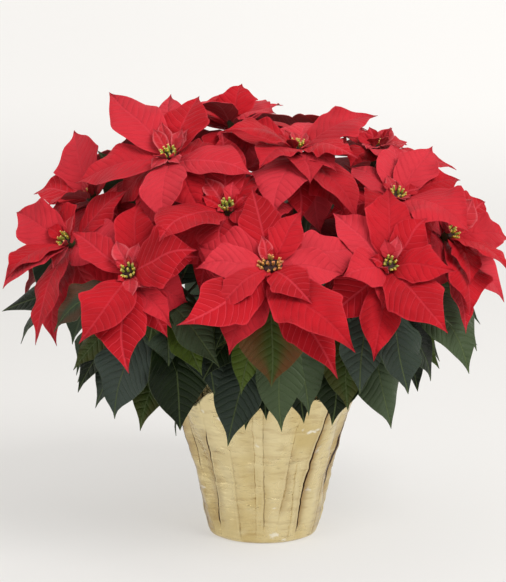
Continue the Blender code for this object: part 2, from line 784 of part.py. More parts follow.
def build_foil(home) -> bpy.types.Object:
    """The gold foil wrap: a pleated cup with a flat closed base, open at the top."""
    heights = [0.0] + [height for height, _ in FOIL_PROFILE]
    bm = bmesh.new()
    bmesh.ops.create_grid(bm, x_segments=FOIL_STEPS, y_segments=len(heights) - 1, size=1.0)
    for vert in bm.verts:
        angle = pi * (vert.co.x + 1.0)
        row = round((vert.co.y + 1.0) / 2.0 * (len(heights) - 1))
        point = foil_point(angle, heights[row]) if row else Vector((0, 0, 0))
        vert.co = point * MM
    bmesh.ops.remove_doubles(bm, verts=bm.verts, dist=0.01 * MM)
    bmesh.ops.triangulate(bm, faces=bm.faces)
    bmesh.ops.recalc_face_normals(bm, faces=bm.faces)
    if sum(face.normal.z * face.calc_area() for face in bm.faces) > 0:
        bmesh.ops.reverse_faces(bm, faces=bm.faces)
    foil = object_from_bmesh("foil_wrap", bm, "foil", home)
    wall = foil.modifiers.new("wall", "SOLIDIFY")
    wall.thickness = FOIL_THICKNESS * MM
    wall.offset = -1.0
    return foil


def build_pot(home) -> bpy.types.Object:
    """The plain grower pot inside the foil, with its lip."""
    base = FOIL_THICKNESS + SEAT
    top = base + POT_HEIGHT
    slope = (POT_TOP_RADIUS - POT_BASE_RADIUS) / POT_HEIGHT
    lip_low = top - POT_LIP_HEIGHT
    at_lip = POT_TOP_RADIUS - slope * POT_LIP_HEIGHT
    profile = [
        (0.0, base + POT_WALL),
        (POT_BASE_RADIUS - POT_WALL, base + POT_WALL),
        (POT_TOP_RADIUS - POT_WALL, top),
        (POT_TOP_RADIUS + POT_LIP, top),
        (POT_TOP_RADIUS + POT_LIP, lip_low),
        (at_lip, lip_low),
        (POT_BASE_RADIUS, base),
        (0.0, base),
    ]
    return turned_object("grower_pot", profile, POT_STEPS, "pot", home)


def soil_levels() -> tuple[float, float]:
    """The height of the soil's underside and top."""
    low = FOIL_THICKNESS + SEAT + POT_WALL + SEAT
    high = FOIL_THICKNESS + SEAT + POT_HEIGHT - SOIL_DEPTH_BELOW_RIM
    return low, high


def build_soil(home, cutters) -> bpy.types.Object:
    """The soil, filling the pot, with a plain hole for each stem."""
    low, high = soil_levels()
    slope = (POT_TOP_RADIUS - POT_BASE_RADIUS) / (POT_HEIGHT - POT_WALL)
    inside = POT_BASE_RADIUS - POT_WALL - SOIL_GAP
    profile = [
        (0.0, high + SOIL_HEAP),
        (inside * 0.6, high + SOIL_HEAP / 3.0),
        (inside + slope * (high - low), high),
        (inside, low),
        (0.0, low),
    ]
    soil = turned_object("soil", profile, POT_STEPS, "soil", home)
    for plant, (x, y) in PLANTS.items():
        points = [Vector((x, y, high - STEM_HOLE_DEPTH)), Vector((x, y, high + 2.0 * SOIL_HEAP))]
        radius = TRUNK_RADIUS + STEM_HOLE_GAP
        cutter = tube_object("hole_" + plant, points, [radius, radius], TRUNK_SIDES_RESOLUTION, cutters)
        cutter.hide_render = True
        cutter.display_type = "WIRE"
        cut = soil.modifiers.new("hole_" + plant, "BOOLEAN")
        cut.operation = "DIFFERENCE"
        cut.object = cutter
        cut.solver = "EXACT"
    return soil


def branch_points(bloom: Bloom) -> list[Vector]:
    """The stem from its plant's trunk to the underside of a bloom, a smooth bend in mm."""
    x, y = PLANTS[bloom.plant]
    start = Vector((x, y, TRUNK_TOP - BRANCH_DEPTH_IN_TRUNK))
    normal = facing_vector(*bloom.facing)
    end = Vector(bloom.centre) - normal * (RECEPTACLE_HEIGHT + SEAT)
    reach = (end - start).length
    out = Vector((end.x - x, end.y - y, 0.0)).normalized()
    first = start + (Vector((0, 0, BRANCH_RISE)) + out * BRANCH_SPREAD) * reach
    second = end - normal * (BRANCH_APPROACH * reach)
    points = []
    for i in range(BRANCH_STEPS + 1):
        t = i / BRANCH_STEPS
        s = 1.0 - t
        points.append(s**3 * start + 3 * s * s * t * first + 3 * s * t * t * second + t**3 * end)
    points.insert(-1, end - normal * BRANCH_NECK)
    return points


def along_branch(bloom: Bloom, share: float) -> Vector:
    """The point at a share of a branch's length."""
    points = branch_points(bloom)
    total = sum((b - a).length for a, b in zip(points, points[1:]))
    left = share * total
    for a, b in zip(points, points[1:]):
        step = (b - a).length
        if left <= step:
            return a.lerp(b, left / step)
        left -= step
    return points[-1]


def build_stems(home, registry: Registry) -> dict:
    """Each plant's trunk and branches, as loose tubes for its union."""
    _, high = soil_levels()
    stems = {}
    for plant, (x, y) in PLANTS.items():
        foot = high - STEM_HOLE_DEPTH + SEAT
        points = [Vector((x, y, foot)), Vector((x, y, 0.5 * (foot + TRUNK_TOP))), Vector((x, y, TRUNK_TOP))]
        radii = [TRUNK_RADIUS] * 3
        name = "plant_" + plant
        stems[plant] = [tube_object(name, points, radii, TRUNK_SIDES_RESOLUTION, home)]
    for bloom in BLOOMS:
        points = branch_points(bloom)
        radii = [BRANCH_RADIUS] * (len(points) - 2) + [BRANCH_TIP_RADIUS] * 2
        stems[bloom.plant].append(tube_object("branch_" + bloom.name, points, radii, 0, home))
    for plant, pieces in stems.items():
        for piece in pieces:
            bm = bmesh.new()
            bm.from_mesh(piece.data)
            registry.add("plant_" + plant, bm, bm)
            bm.free()
    return stems


def standing_frame(origin: Vector, normal: Vector) -> Matrix:
    """A frame whose +Z is the normal, in metres."""
    turn = normal.to_track_quat("Z", "Y").to_matrix().to_4x4()
    return Matrix.Translation(origin * MM) @ turn


def frustum(foot: float, top: float, height: float, sides: int, frame: Matrix) -> bmesh.types.BMesh:
    """A frustum standing on a frame's origin along its +Z, sizes in mm."""
    bm = bmesh.new()
    bmesh.ops.create_cone(
        bm, cap_ends=True, segments=sides, radius1=foot * MM, radius2=top * MM, depth=height * MM
    )
    bmesh.ops.transform(bm, matrix=frame @ Matrix.Translation((0, 0, height / 2.0 * MM)), verts=bm.verts)
    return bm


def build_receptacle(bloom: Bloom, home, registry: Registry) -> bpy.types.Object:
    """The swollen stem end that bears a bloom's bracts."""
    normal = facing_vector(*bloom.facing)
    foot = Vector(bloom.centre) - normal * RECEPTACLE_HEIGHT
    bm = frustum(
        RECEPTACLE_FOOT_RADIUS,
        RECEPTACLE_TOP_RADIUS,
        RECEPTACLE_HEIGHT,
        RECEPTACLE_SIDES,
        standing_frame(foot, normal),
    )
    name = "bloom_" + bloom.name + "_bracts"
    registry.add(name, bm)
    return object_from_bmesh(name, bm, "bract", home)


def build_cyathia(bloom: Bloom, home, registry: Registry) -> bpy.types.Object:
    """A bloom's cluster of small yellow-green cups, leaning out of a low cushion."""
    normal = facing_vector(*bloom.facing)
    frame = standing_frame(Vector(bloom.centre) + normal * SEAT, normal)
    name = "bloom_" + bloom.name + "_cyathia"
    few = bloom.cups <= FEW_CUPS
    radius = CUSHION_RADIUS_IF_FEW if few else CUSHION_RADIUS
    height = CUP_HEIGHT if few else CUSHION_HEIGHT
    wide = frame @ Matrix.Diagonal((bloom.stretch, 1.0, 1.0, 1.0))
    cushion = frustum(radius + CUSHION_TAPER, radius - CUSHION_TAPER, height, CUSHION_SIDES, wide)
    registry.add(name, cushion)
    base = object_from_bmesh(name, cushion, "cyathia", home)
    around = bloom.cups - 1
    spreads = [CUP_SPREAD_IF_FEW] * around if few else [CUP_SPREAD] * around + [0.0]
    cups = []
    for i, spread in enumerate(spreads):
        angle = 2.0 * pi * i / around
        height = CUP_HEIGHT + (CUP_EXTRA_HEIGHT if i % 2 or spread == 0.0 else 0.0)
        aside, up = spread * bloom.stretch * cos(angle), spread * sin(angle)
        place = Matrix.Translation((aside * MM, up * MM, MM))
        tilt = Matrix.Rotation(radians(CUP_LEAN * spread), 4, Vector((-sin(angle), cos(angle), 0)))
        cup = frustum(CUP_FOOT_RADIUS, CUP_RADIUS, height, CUP_SIDES, frame @ place @ tilt)
        registry.add(name, cup)
        cups.append(object_from_bmesh("cup", cup, "cyathia", home))
    fuse(base, cups, "cyathia")
    return base


def stacking_levels(blades: list[Blade], normal: Vector) -> list[float]:
    """How far under the bloom's top each bract is rooted.

    The steeper it starts, the higher, and the small inner bracts are above the others.
    """
    slopes = []
    for blade in blades:
        offset = Vector(blade.tip)
        rise = offset.dot(normal)
        reach = (offset - normal * rise).length
        inner = INNER_RANK if offset.length < INNER_BRACT_LENGTH else 0.0
        slopes.append(rise / reach + 4.0 * blade.bow / offset.length + inner)
    order = sorted(range(len(blades)), key=lambda i: slopes[i])
    outer = sum(slope < INNER_RANK / 2.0 for slope in slopes)
    levels = [0.0] * len(blades)
    for rank, i in enumerate(order):
        if rank < outer:
            levels[i] = LOWEST_BRACT - (LOWEST_BRACT - HIGHEST_BRACT) * rank / max(outer - 1, 1)
        else:
            share = (rank - outer) / max(len(blades) - outer - 1, 1)
            levels[i] = LOWEST_INNER_BRACT - (LOWEST_INNER_BRACT - HIGHEST_INNER_BRACT) * share
    return levels


def bract_placements(bloom: Bloom, chance: Random) -> list[Placement]:
    """A bloom's bracts: those set by hand, then the ring that its rule adds."""
    normal = facing_vector(*bloom.facing)
    centre = Vector(bloom.centre)
    right, up = plane_axes(normal)
    blades = list(bloom.bracts)
    for ring in bloom.rings:
        for i in range(ring.count):
            clock = radians(ring.start + i * ring.step + chance.uniform(-1, 1) * RING_BRACT_TURN)
            lift = radians(ring.lift + chance.uniform(-1, 1) * RING_BRACT_LIFT)
            reach = ring.length * chance.uniform(*RING_BRACT_REACH)
            flat = right * sin(clock) + up * cos(clock)
            tip = (flat * cos(lift) + normal * sin(lift)) * reach
            width = reach * chance.uniform(*RING_BRACT_WIDTH)
            blades.append(Blade(tuple(tip), width, chance.uniform(*RING_BRACT_BOW)))
    levels = stacking_levels(blades, normal)
    placements = []
    for blade, level in zip(blades, levels):
        offset = Vector(blade.tip)
        broad = blade in bloom.bracts and offset.length > BROAD_BRACT_LENGTH
        flat = (offset - normal * offset.dot(normal)).normalized()
        inner = offset.length < INNER_BRACT_LENGTH
        placements.append(
            Placement(
                root=centre - normal * level + flat * (INNER_ROOT if inner else BRACT_ROOT),
                tip=centre + offset + (normal * INNER_LIFT if inner else Vector((0, 0, 0))),
                facing=normal,
                width=blade.width,
                bow=blade.bow,
                side=blade.side,
                roll=blade.roll,
                rows=BROAD_ROWS if broad else BRACT_ROWS,
                columns=2 if broad else 1,
                stalk=BRACT_STALK,
                phase=chance.uniform(0, 2 * pi),
                by_hand=blade in bloom.bracts,
            )
        )
    return placements


def ring_leaves(bloom: Bloom, chance: Random) -> list[Leaf]:
    """The leaves that a rule sets round a branch of the hidden sides."""
    count, middle, lowest = LEAF_RINGS[bloom.name]
    leaves = []
    for i in range(count):
        along = lowest + RING_LEAF_SPAN * i / (count - 1)
        root = along_branch(bloom, along)
        side = RING_LEAF_STEP * (i - (count - 1) / 2.0) * (1 if i % 2 else -1)
        azimuth = middle + side + chance.uniform(-1, 1) * RING_LEAF_TURN
        way = facing_vector(azimuth, -chance.uniform(*RING_LEAF_DROOP))
        tip = root + way * chance.uniform(*RING_LEAF_LENGTHS)
        width = chance.uniform(*RING_LEAF_WIDTHS)
        leaves.append(Leaf(bloom.name, along, Blade(tuple(tip), width, RING_LEAF_BOW)))
    return leaves


def leaf_placement(leaf: Leaf, bloom: Bloom, by_hand: bool, phase: float) -> Placement:
    """One leaf on its stalk, turned towards the front where it is set by hand."""
    root = along_branch(bloom, leaf.along)
    tip = Vector(leaf.blade.tip)
    away = Vector((tip.x - root.x, tip.y - root.y, 0.0)).normalized()
    front = Vector((0, -LEAF_FACES_FRONT if by_hand else 0.0, 0))
    return Placement(
        root=root,
        tip=tip,
        facing=(Vector((0, 0, LEAF_FACES_UP)) + away * LEAF_FACES_OUT + front).normalized(),
        width=leaf.blade.width,
        bow=leaf.blade.bow,
        side=leaf.blade.side,
        roll=leaf.blade.roll,
        rows=LEAF_ROWS,
        columns=1,
        stalk=LEAF_STALK,
        phase=phase,
        by_hand=by_hand,
    )


def leaf_placements(plant: str, chance: Random) -> list[Placement]:
    """The leaves of a plant that are set by hand, then those made by rule."""
    branches = {bloom.name: bloom for bloom in BLOOMS if bloom.plant == plant}
    leaves = [leaf for leaf in LEAVES if leaf.branch in branches]
    for name in branches:
        if name in LEAF_RINGS:
            leaves += ring_leaves(branches[name], chance)
    placements = []
    for leaf in leaves:
        phase = chance.uniform(0, 2 * pi)
        placements.append(leaf_placement(leaf, branches[leaf.branch], leaf in LEAVES, phase))
    return placements


def low_bract(bloom: Bloom, blade: Blade) -> Placement:
    """A bract at the foot of a bloom's whorl."""
    normal = facing_vector(*bloom.facing)
    centre = Vector(bloom.centre)
    offset = Vector(blade.tip)
    flat = (offset - normal * offset.dot(normal)).normalized()
    return Placement(
        root=centre - normal * LOWEST_BRACT + flat * BRACT_ROOT,
        tip=centre + offset,
        facing=normal,
        width=blade.width,
        bow=blade.bow,
        side=blade.side,
        roll=blade.roll,
        rows=BRACT_ROWS,
        columns=1,
        stalk=BRACT_STALK,
        phase=0.0,
        by_hand=False,
    )


def blade_objects(places: list[Placement], finish: str, home) -> list[bpy.types.Object]:
    """The placed blades as loose objects for a union."""
    return [object_from_bmesh("blade", blade_solid(p, BLADE_THICKNESS), finish, home) for p in places]


def settle_in_turn(registry: Registry, plans: dict[str, list[Placement]]) -> dict[str, list[Placement]]:
    """Settles the blades of several nodes: all that are set by hand, then those made by rule."""
    kept = {node: [] for node in plans}
    for by_hand in (True, False):
        for node, blades in plans.items():
            kept[node] += settle_all(registry, node, [b for b in blades if b.by_hand == by_hand])
    return kept


def build_plant_parts(home) -> None:
    """The stems, blooms and leaves, each blade bent clear of what was placed before it."""
    registry = Registry()
    chance = Random(SEED)
    stems = build_stems(home, registry)
    bases = {}
    for bloom in BLOOMS:
        base = build_receptacle(bloom, home, registry)
        bases[base.name] = base
    for bloom in BLOOMS:
        build_cyathia(bloom, home, registry)
    bracts = {base: bract_placements(bloom, chance) for base, bloom in zip(bases, BLOOMS)}
    bracts = settle_in_turn(registry, bracts)
    leaves = {pieces[0].name: leaf_placements(plant, chance) for plant, pieces in stems.items()}
    leaves = settle_in_turn(registry, leaves)
    blooms = {bloom.name: bloom for bloom in BLOOMS}
    for name, blade in FILL_BRACTS:
        node = "bloom_" + name + "_bracts"
        bracts[node] += settle_all(registry, node, [low_bract(blooms[name], blade)])
    for leaf in FILL_LEAVES:
        bloom = blooms[leaf.branch]
        node = "plant_" + bloom.plant
        leaves[node] += settle_all(registry, node, [leaf_placement(leaf, bloom, False, 0.0)])
    for node, places in bracts.items():
        fuse(bases[node], blade_objects(places, "bract", home), "bract")
    for pieces in stems.values():
        fuse(pieces[0], pieces[1:] + blade_objects(leaves[pieces[0].name], "green", home), "green")


def collection(name: str) -> bpy.types.Collection:
    """A new collection in the scene."""
    made = bpy.data.collections.new(name)
    bpy.context.scene.collection.children.link(made)
    return made


def main() -> None:
    """Clears the scene and builds every piece."""
    for obj in list(bpy.data.objects):
        bpy.data.objects.remove(obj, do_unlink=True)
    home = collection("poinsettia")
    cutters = collection("cutters")
    build_foil(home)
    build_pot(home)
    build_soil(home, cutters)
    build_plant_parts(home)


main()
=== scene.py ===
"""Looks of the potted red poinsettia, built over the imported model's frame.

The tables of blooms and leaves repeat the model's own. Each blade is planned as it is there, bent clear of
its neighbours by what the model found, and then drawn with a finer form, a wavy margin and veins.
The tables are in millimetres and the meshes in metres, +Z up, the front towards -Y.
"""

import logging
from dataclasses import dataclass, replace
from enum import Enum
from math import cos, exp, pi, radians, sin
from random import Random

import bmesh
import bpy
from mathutils import Matrix, Quaternion, Vector, noise


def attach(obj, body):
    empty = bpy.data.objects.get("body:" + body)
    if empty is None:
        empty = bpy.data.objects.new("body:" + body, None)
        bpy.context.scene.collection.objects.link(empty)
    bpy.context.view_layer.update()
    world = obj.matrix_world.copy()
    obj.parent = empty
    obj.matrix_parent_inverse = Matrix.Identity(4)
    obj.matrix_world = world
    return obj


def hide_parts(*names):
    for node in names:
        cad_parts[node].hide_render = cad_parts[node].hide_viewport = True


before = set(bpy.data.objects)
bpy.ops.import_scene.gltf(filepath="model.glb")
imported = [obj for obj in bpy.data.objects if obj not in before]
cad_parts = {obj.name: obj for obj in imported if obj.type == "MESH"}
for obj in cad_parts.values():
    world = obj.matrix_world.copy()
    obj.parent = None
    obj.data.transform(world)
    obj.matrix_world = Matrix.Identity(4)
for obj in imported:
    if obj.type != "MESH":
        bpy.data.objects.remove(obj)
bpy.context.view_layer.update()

LOG = logging.getLogger("poinsettia")
MM = 0.001
ROOT_BODY = "root"
Pair = tuple[float, float]
Triple = tuple[float, float, float]
Colour = Triple
Material = bpy.types.Material
Piece = bpy.types.Object
Vertex = bmesh.types.BMVert
Face = bmesh.types.BMFace
Socket = bpy.types.NodeSocket
Number = Socket | float
Tint = Socket | Colour
Input = Socket | float | Colour


class LeafTone(Enum):
    """The greens of the leaves, as shares of grey-blue painted sheen, bright green and red."""

    DARK = (0.0, 0.0, 0.0)
    GREY_SHEEN = (0.9, 0.0, 0.0)
    SLATE_SHEEN = (0.55, 0.0, 0.0)
    BRIGHT = (0.0, 1.0, 0.0)
    OLIVE = (0.1, 0.5, 0.12)
    BRONZE = (0.5, 0.1, 0.45)
    TURNING = (0.0, 0.35, 1.0)


class Detail(Enum):
    """How finely a blade is drawn: columns across it and rows along it."""

    LARGE = (12, 26)
    MIDDLE = (8, 18)
    SMALL = (6, 10)


class Draw(Enum):
    """The random draws beside the model's own, as steps from its seed."""

    BRACTS = 0
    FOIL = 7
    CRUMBS = 11
    CUPS = 100
    LEAVES = 300

    def chance(self, number: int = 0) -> Random:
        """The draw, or the one of its kind with a number."""
        return Random(SEED + self.value + number)


@dataclass(frozen=True)
class Blade:
    """A bract or leaf: its tip as (across, back, up), its width, bow, side bend and roll."""

    tip: Triple
    width: float
    bow: float = 8.0
    side: float = 0.0
    roll: float = 0.0
    shade: float = 0.0


@dataclass(frozen=True)
class Ring:
    """A whorl of like bracts: how many, first clock angle, step, lift and length."""

    count: int
    start: float
    step: float
    lift: float
    length: float


@dataclass(frozen=True)
class Bloom:
    """A bloom: its centre, the way it faces as (azimuth, elevation), its cups and bracts."""

    name: str
    plant: str
    centre: Triple
    facing: Pair
    cups: int
    bracts: tuple[Blade, ...]
    rings: tuple[Ring, ...] = ()
    stretch: float = 1.0

    @property
    def normal(self) -> Vector:
        """The way it faces, as a unit vector."""
        return facing_vector(*self.facing)

    def along_normal(self, distance: float) -> Vector:
        """The point that lies a distance in mm in front of its centre."""
        return Vector(self.centre) + self.normal * distance


@dataclass(frozen=True)
class Leaf:
    """A leaf: the bloom whose branch bears it, how far along, its blade and its tone."""

    branch: str
    along: float
    blade: Blade
    tone: LeafTone = LeafTone.DARK


@dataclass(frozen=True)
class FoilSizes:
    """The foil wrap's profile, pleats, crinkles and rim, and how finely it is drawn."""

    profile: tuple[Pair, ...] = (
        (0.0, 56.0),
        (2.5, 61.0),
        (24.0, 66.0),
        (72.0, 75.0),
        (104.0, 84.0),
        (136.0, 95.0),
        (160.0, 105.0),
    )
    thickness: float = 0.4
    pleats: int = 9
    pleat_depth: float = 1.9
    depth_at_base: float = 0.35
    pleat_twist: float = 0.02
    crinkles: int = 17
    crinkle_depth: float = 1.1
    crinkle_twist: float = 0.045
    calm_height: float = 60.0
    flare_start: float = 100.0
    flare_height: float = 60.0
    ruffles: int = 7
    ruffle_depth: float = 3.0
    rim_waves: int = 5
    rim_wave_height: float = 4.0
    columns_per_fold: int = 24
    rows: int = 64
    base_rows: int = 2
    row_spacing: float = 1.1
    crowding: float = 0.86
    flat_foot: float = 9.0
    rim_from: float = 120.0
    wander: Pair = (1.1, 0.45)
    wrinkle: Pair = (0.9, 0.6)
    ragged: float = 1.8


@dataclass(frozen=True)
class FoldSizes:
    """The shape that the foil's folds share: distances from the fold in mm, and shares of the height."""

    fade_in: float = 0.06
    fade_out: Pair = (0.08, 0.04)
    vary: Pair = (0.90, 0.40)
    vary_height: float = 14.0
    lap: Pair = (6.0, 0.5)
    faint: float = 0.35
    raised: float = 0.5
    groove: float = 0.9
    groove_at: float = -0.5
    groove_spread: float = 0.8
    ridge_at: float = 1.9
    crease_at: float = -0.3
    crease_least: float = 0.55
    haze_at: float = -1.5
    wander_heights: Pair = (26.0, 6.0)


@dataclass(frozen=True)
class PotSizes:
    """The grower pot, its soil and the stem holes."""

    foil_thickness: float = 0.8
    seat: float = 0.3
    height: float = 138.0
    top_radius: float = 78.0
    wall: float = 2.0
    soil_below_rim: float = 12.0
    soil_heap: float = 3.0
    stem_hole_depth: float = 45.0

    @property
    def soil_top(self) -> float:
        """The height of the soil's rim."""
        return self.foil_thickness + self.seat + self.height - self.soil_below_rim


@dataclass(frozen=True)
class StemSizes:
    """Trunks, branches, the swollen stem ends under the blooms and the leaves' stalks."""

    trunk_radius: float = 6.0
    trunk_top: float = 205.0
    trunk_rings: int = 12
    trunk_sides: int = 14
    branch_radius: float = 3.4
    tip_radius: float = 2.8
    steps: int = 3
    branch_rings: int = 20
    branch_sides: int = 10
    branch_blush: float = 0.3
    depth_in_trunk: float = 8.0
    neck: float = 6.0
    rise: float = 0.29
    spread: float = 0.16
    approach: float = 0.34
    end_height: float = 16.0
    end_foot: float = 3.4
    end_top: float = 6.4
    end_rings: int = 6
    end_sides: int = 12
    end_blush: float = 0.2
    stalk_radius: float = 1.7
    stalk_taper: float = 0.13
    stalk_rings: int = 6
    stalk_sides: int = 8
    stalk_share: float = 0.34


@dataclass(frozen=True)
class CupSizes:
    """The round cups of a bloom's middle, their glands and anthers, and the dark bed under them, partly
    painted shade.
    """

    few: int = 3
    few_angles: Triple = (0.4, 2.5, 4.6)
    few_reach: float = 2.6
    few_height: float = 6.0
    row: tuple[float, ...] = (-6.2, -2.0, 2.2, 6.0)
    row_up: float = 0.3
    row_height: float = 7.6
    added: int = 3
    reach: float = 5.2
    reach_vary: float = 0.9
    height: Pair = (5.6, 7.6)
    radius: float = 1.5
    lean: float = 0.055
    segments: int = 10
    gland: Triple = (1.05, 1.05, 0.8)
    gland_reach: float = 1.15
    gland_at: float = 0.84
    gland_segments: int = 8
    anthers: int = 5
    anther: Triple = (0.42, 0.42, 0.5)
    anther_reach: Pair = (0.4, 1.15)
    anther_lift: float = 0.7
    anther_segments: int = 6
    bed_radius: float = 7.0
    bed_height: float = 2.0
    bed_lift: float = 0.2
    bed_segments: int = 14


@dataclass(frozen=True)
class BladeSizes:
    """What all blades share: outline, fold and waves, how they take their roots, and their walls."""

    petiole: float = 2.0
    rise: float = 0.8
    fall: float = 1.15
    fold: float = 0.10
    wave: float = 0.06
    wave_turns: float = 9.0
    wave_shift: float = 1.9
    bract_stalk: float = 0.05
    leaf_stalk: float = 0.24
    inner_length: float = 48.0
    inner_root: float = 3.5
    inner_lift: float = 5.0
    inner_rank: float = 10.0
    bract_root: float = 2.5
    lowest: float = 13.0
    highest: float = 6.0
    lowest_inner: float = 5.0
    highest_inner: float = 3.0
    bract_teeth: float = 0.26
    leaf_teeth: float = 0.10
    bract_wall: float = 0.5
    leaf_wall: float = 0.6
    tones: Pair = (-0.6, 1.0)


@dataclass(frozen=True)
class MarginSizes:
    """The fine form of a blade: its teeth, belly, curl, ripples, groove and droop."""

    full_width: float = 44.0
    tooth_lead: float = 0.10
    tooth_drop: float = 0.035
    taper: Pair = (0.76, 0.97)
    belly: float = 0.19
    belly_at: float = 0.60
    belly_spread: float = 0.17
    wobble: float = 0.025
    wobble_turns: float = 19.0
    wobble_shift: float = 2.0
    curl_from: float = 0.30
    ripple_shift: float = 1.3
    groove: float = 0.5
    groove_spread: float = 0.10
    droop_from: float = 0.7


@dataclass(frozen=True)
class RingSizes:
    """How the blades that a rule makes vary."""

    bract_turn: float = 8.0
    bract_lift: float = 7.0
    bract_reach: Pair = (0.88, 1.08)
    bract_width: Pair = (0.40, 0.50)
    bract_bow: Pair = (8.0, 14.0)
    leaf_length: Pair = (138.0, 168.0)
    leaf_width: Pair = (50.0, 62.0)
    leaf_bow: float = 22.0
    leaf_step: float = 34.0
    leaf_turn: float = 10.0
    leaf_droop: Pair = (22.0, 44.0)
    leaf_span: float = 0.44
    leaf_out: float = 0.7
    leaf_up: float = 0.8
    leaf_front: float = 0.8


@dataclass(frozen=True)
class YoungSizes:
    """The small young bracts round the cups, made by rule."""

    count: int = 5
    turn: float = 0.3
    length: Pair = (15.0, 30.0)
    width: Pair = (0.38, 0.55)
    lift: Pair = (18.0, 40.0)
    bow: Pair = (1.0, 4.0)
    roll: float = 25.0
    root: float = 6.5
    pale_share: float = 0.30


SEED = 1214
SEAT = 0.3
WELD = 0.01 * MM
GROWTH_UNIT = 100.0
TIP = 0.999
NEARLY_LEVEL = 0.25
NEARLY_PARALLEL = 0.2
FOIL = FoilSizes()
FOLD = FoldSizes()
POT = PotSizes()
STEM = StemSizes()
CUP = CupSizes()
BLADE = BladeSizes()
MARGIN = MarginSizes()
RULE = RingSizes()
YOUNG = YoungSizes()
RULE_TONES = (LeafTone.DARK, LeafTone.SLATE_SHEEN, LeafTone.OLIVE)
UNBENT = (0,)

PLANTS = {
    "left": (-27.0, -14.0),
    "right": (27.0, -14.0),
    "back": (0.0, 30.0),
}

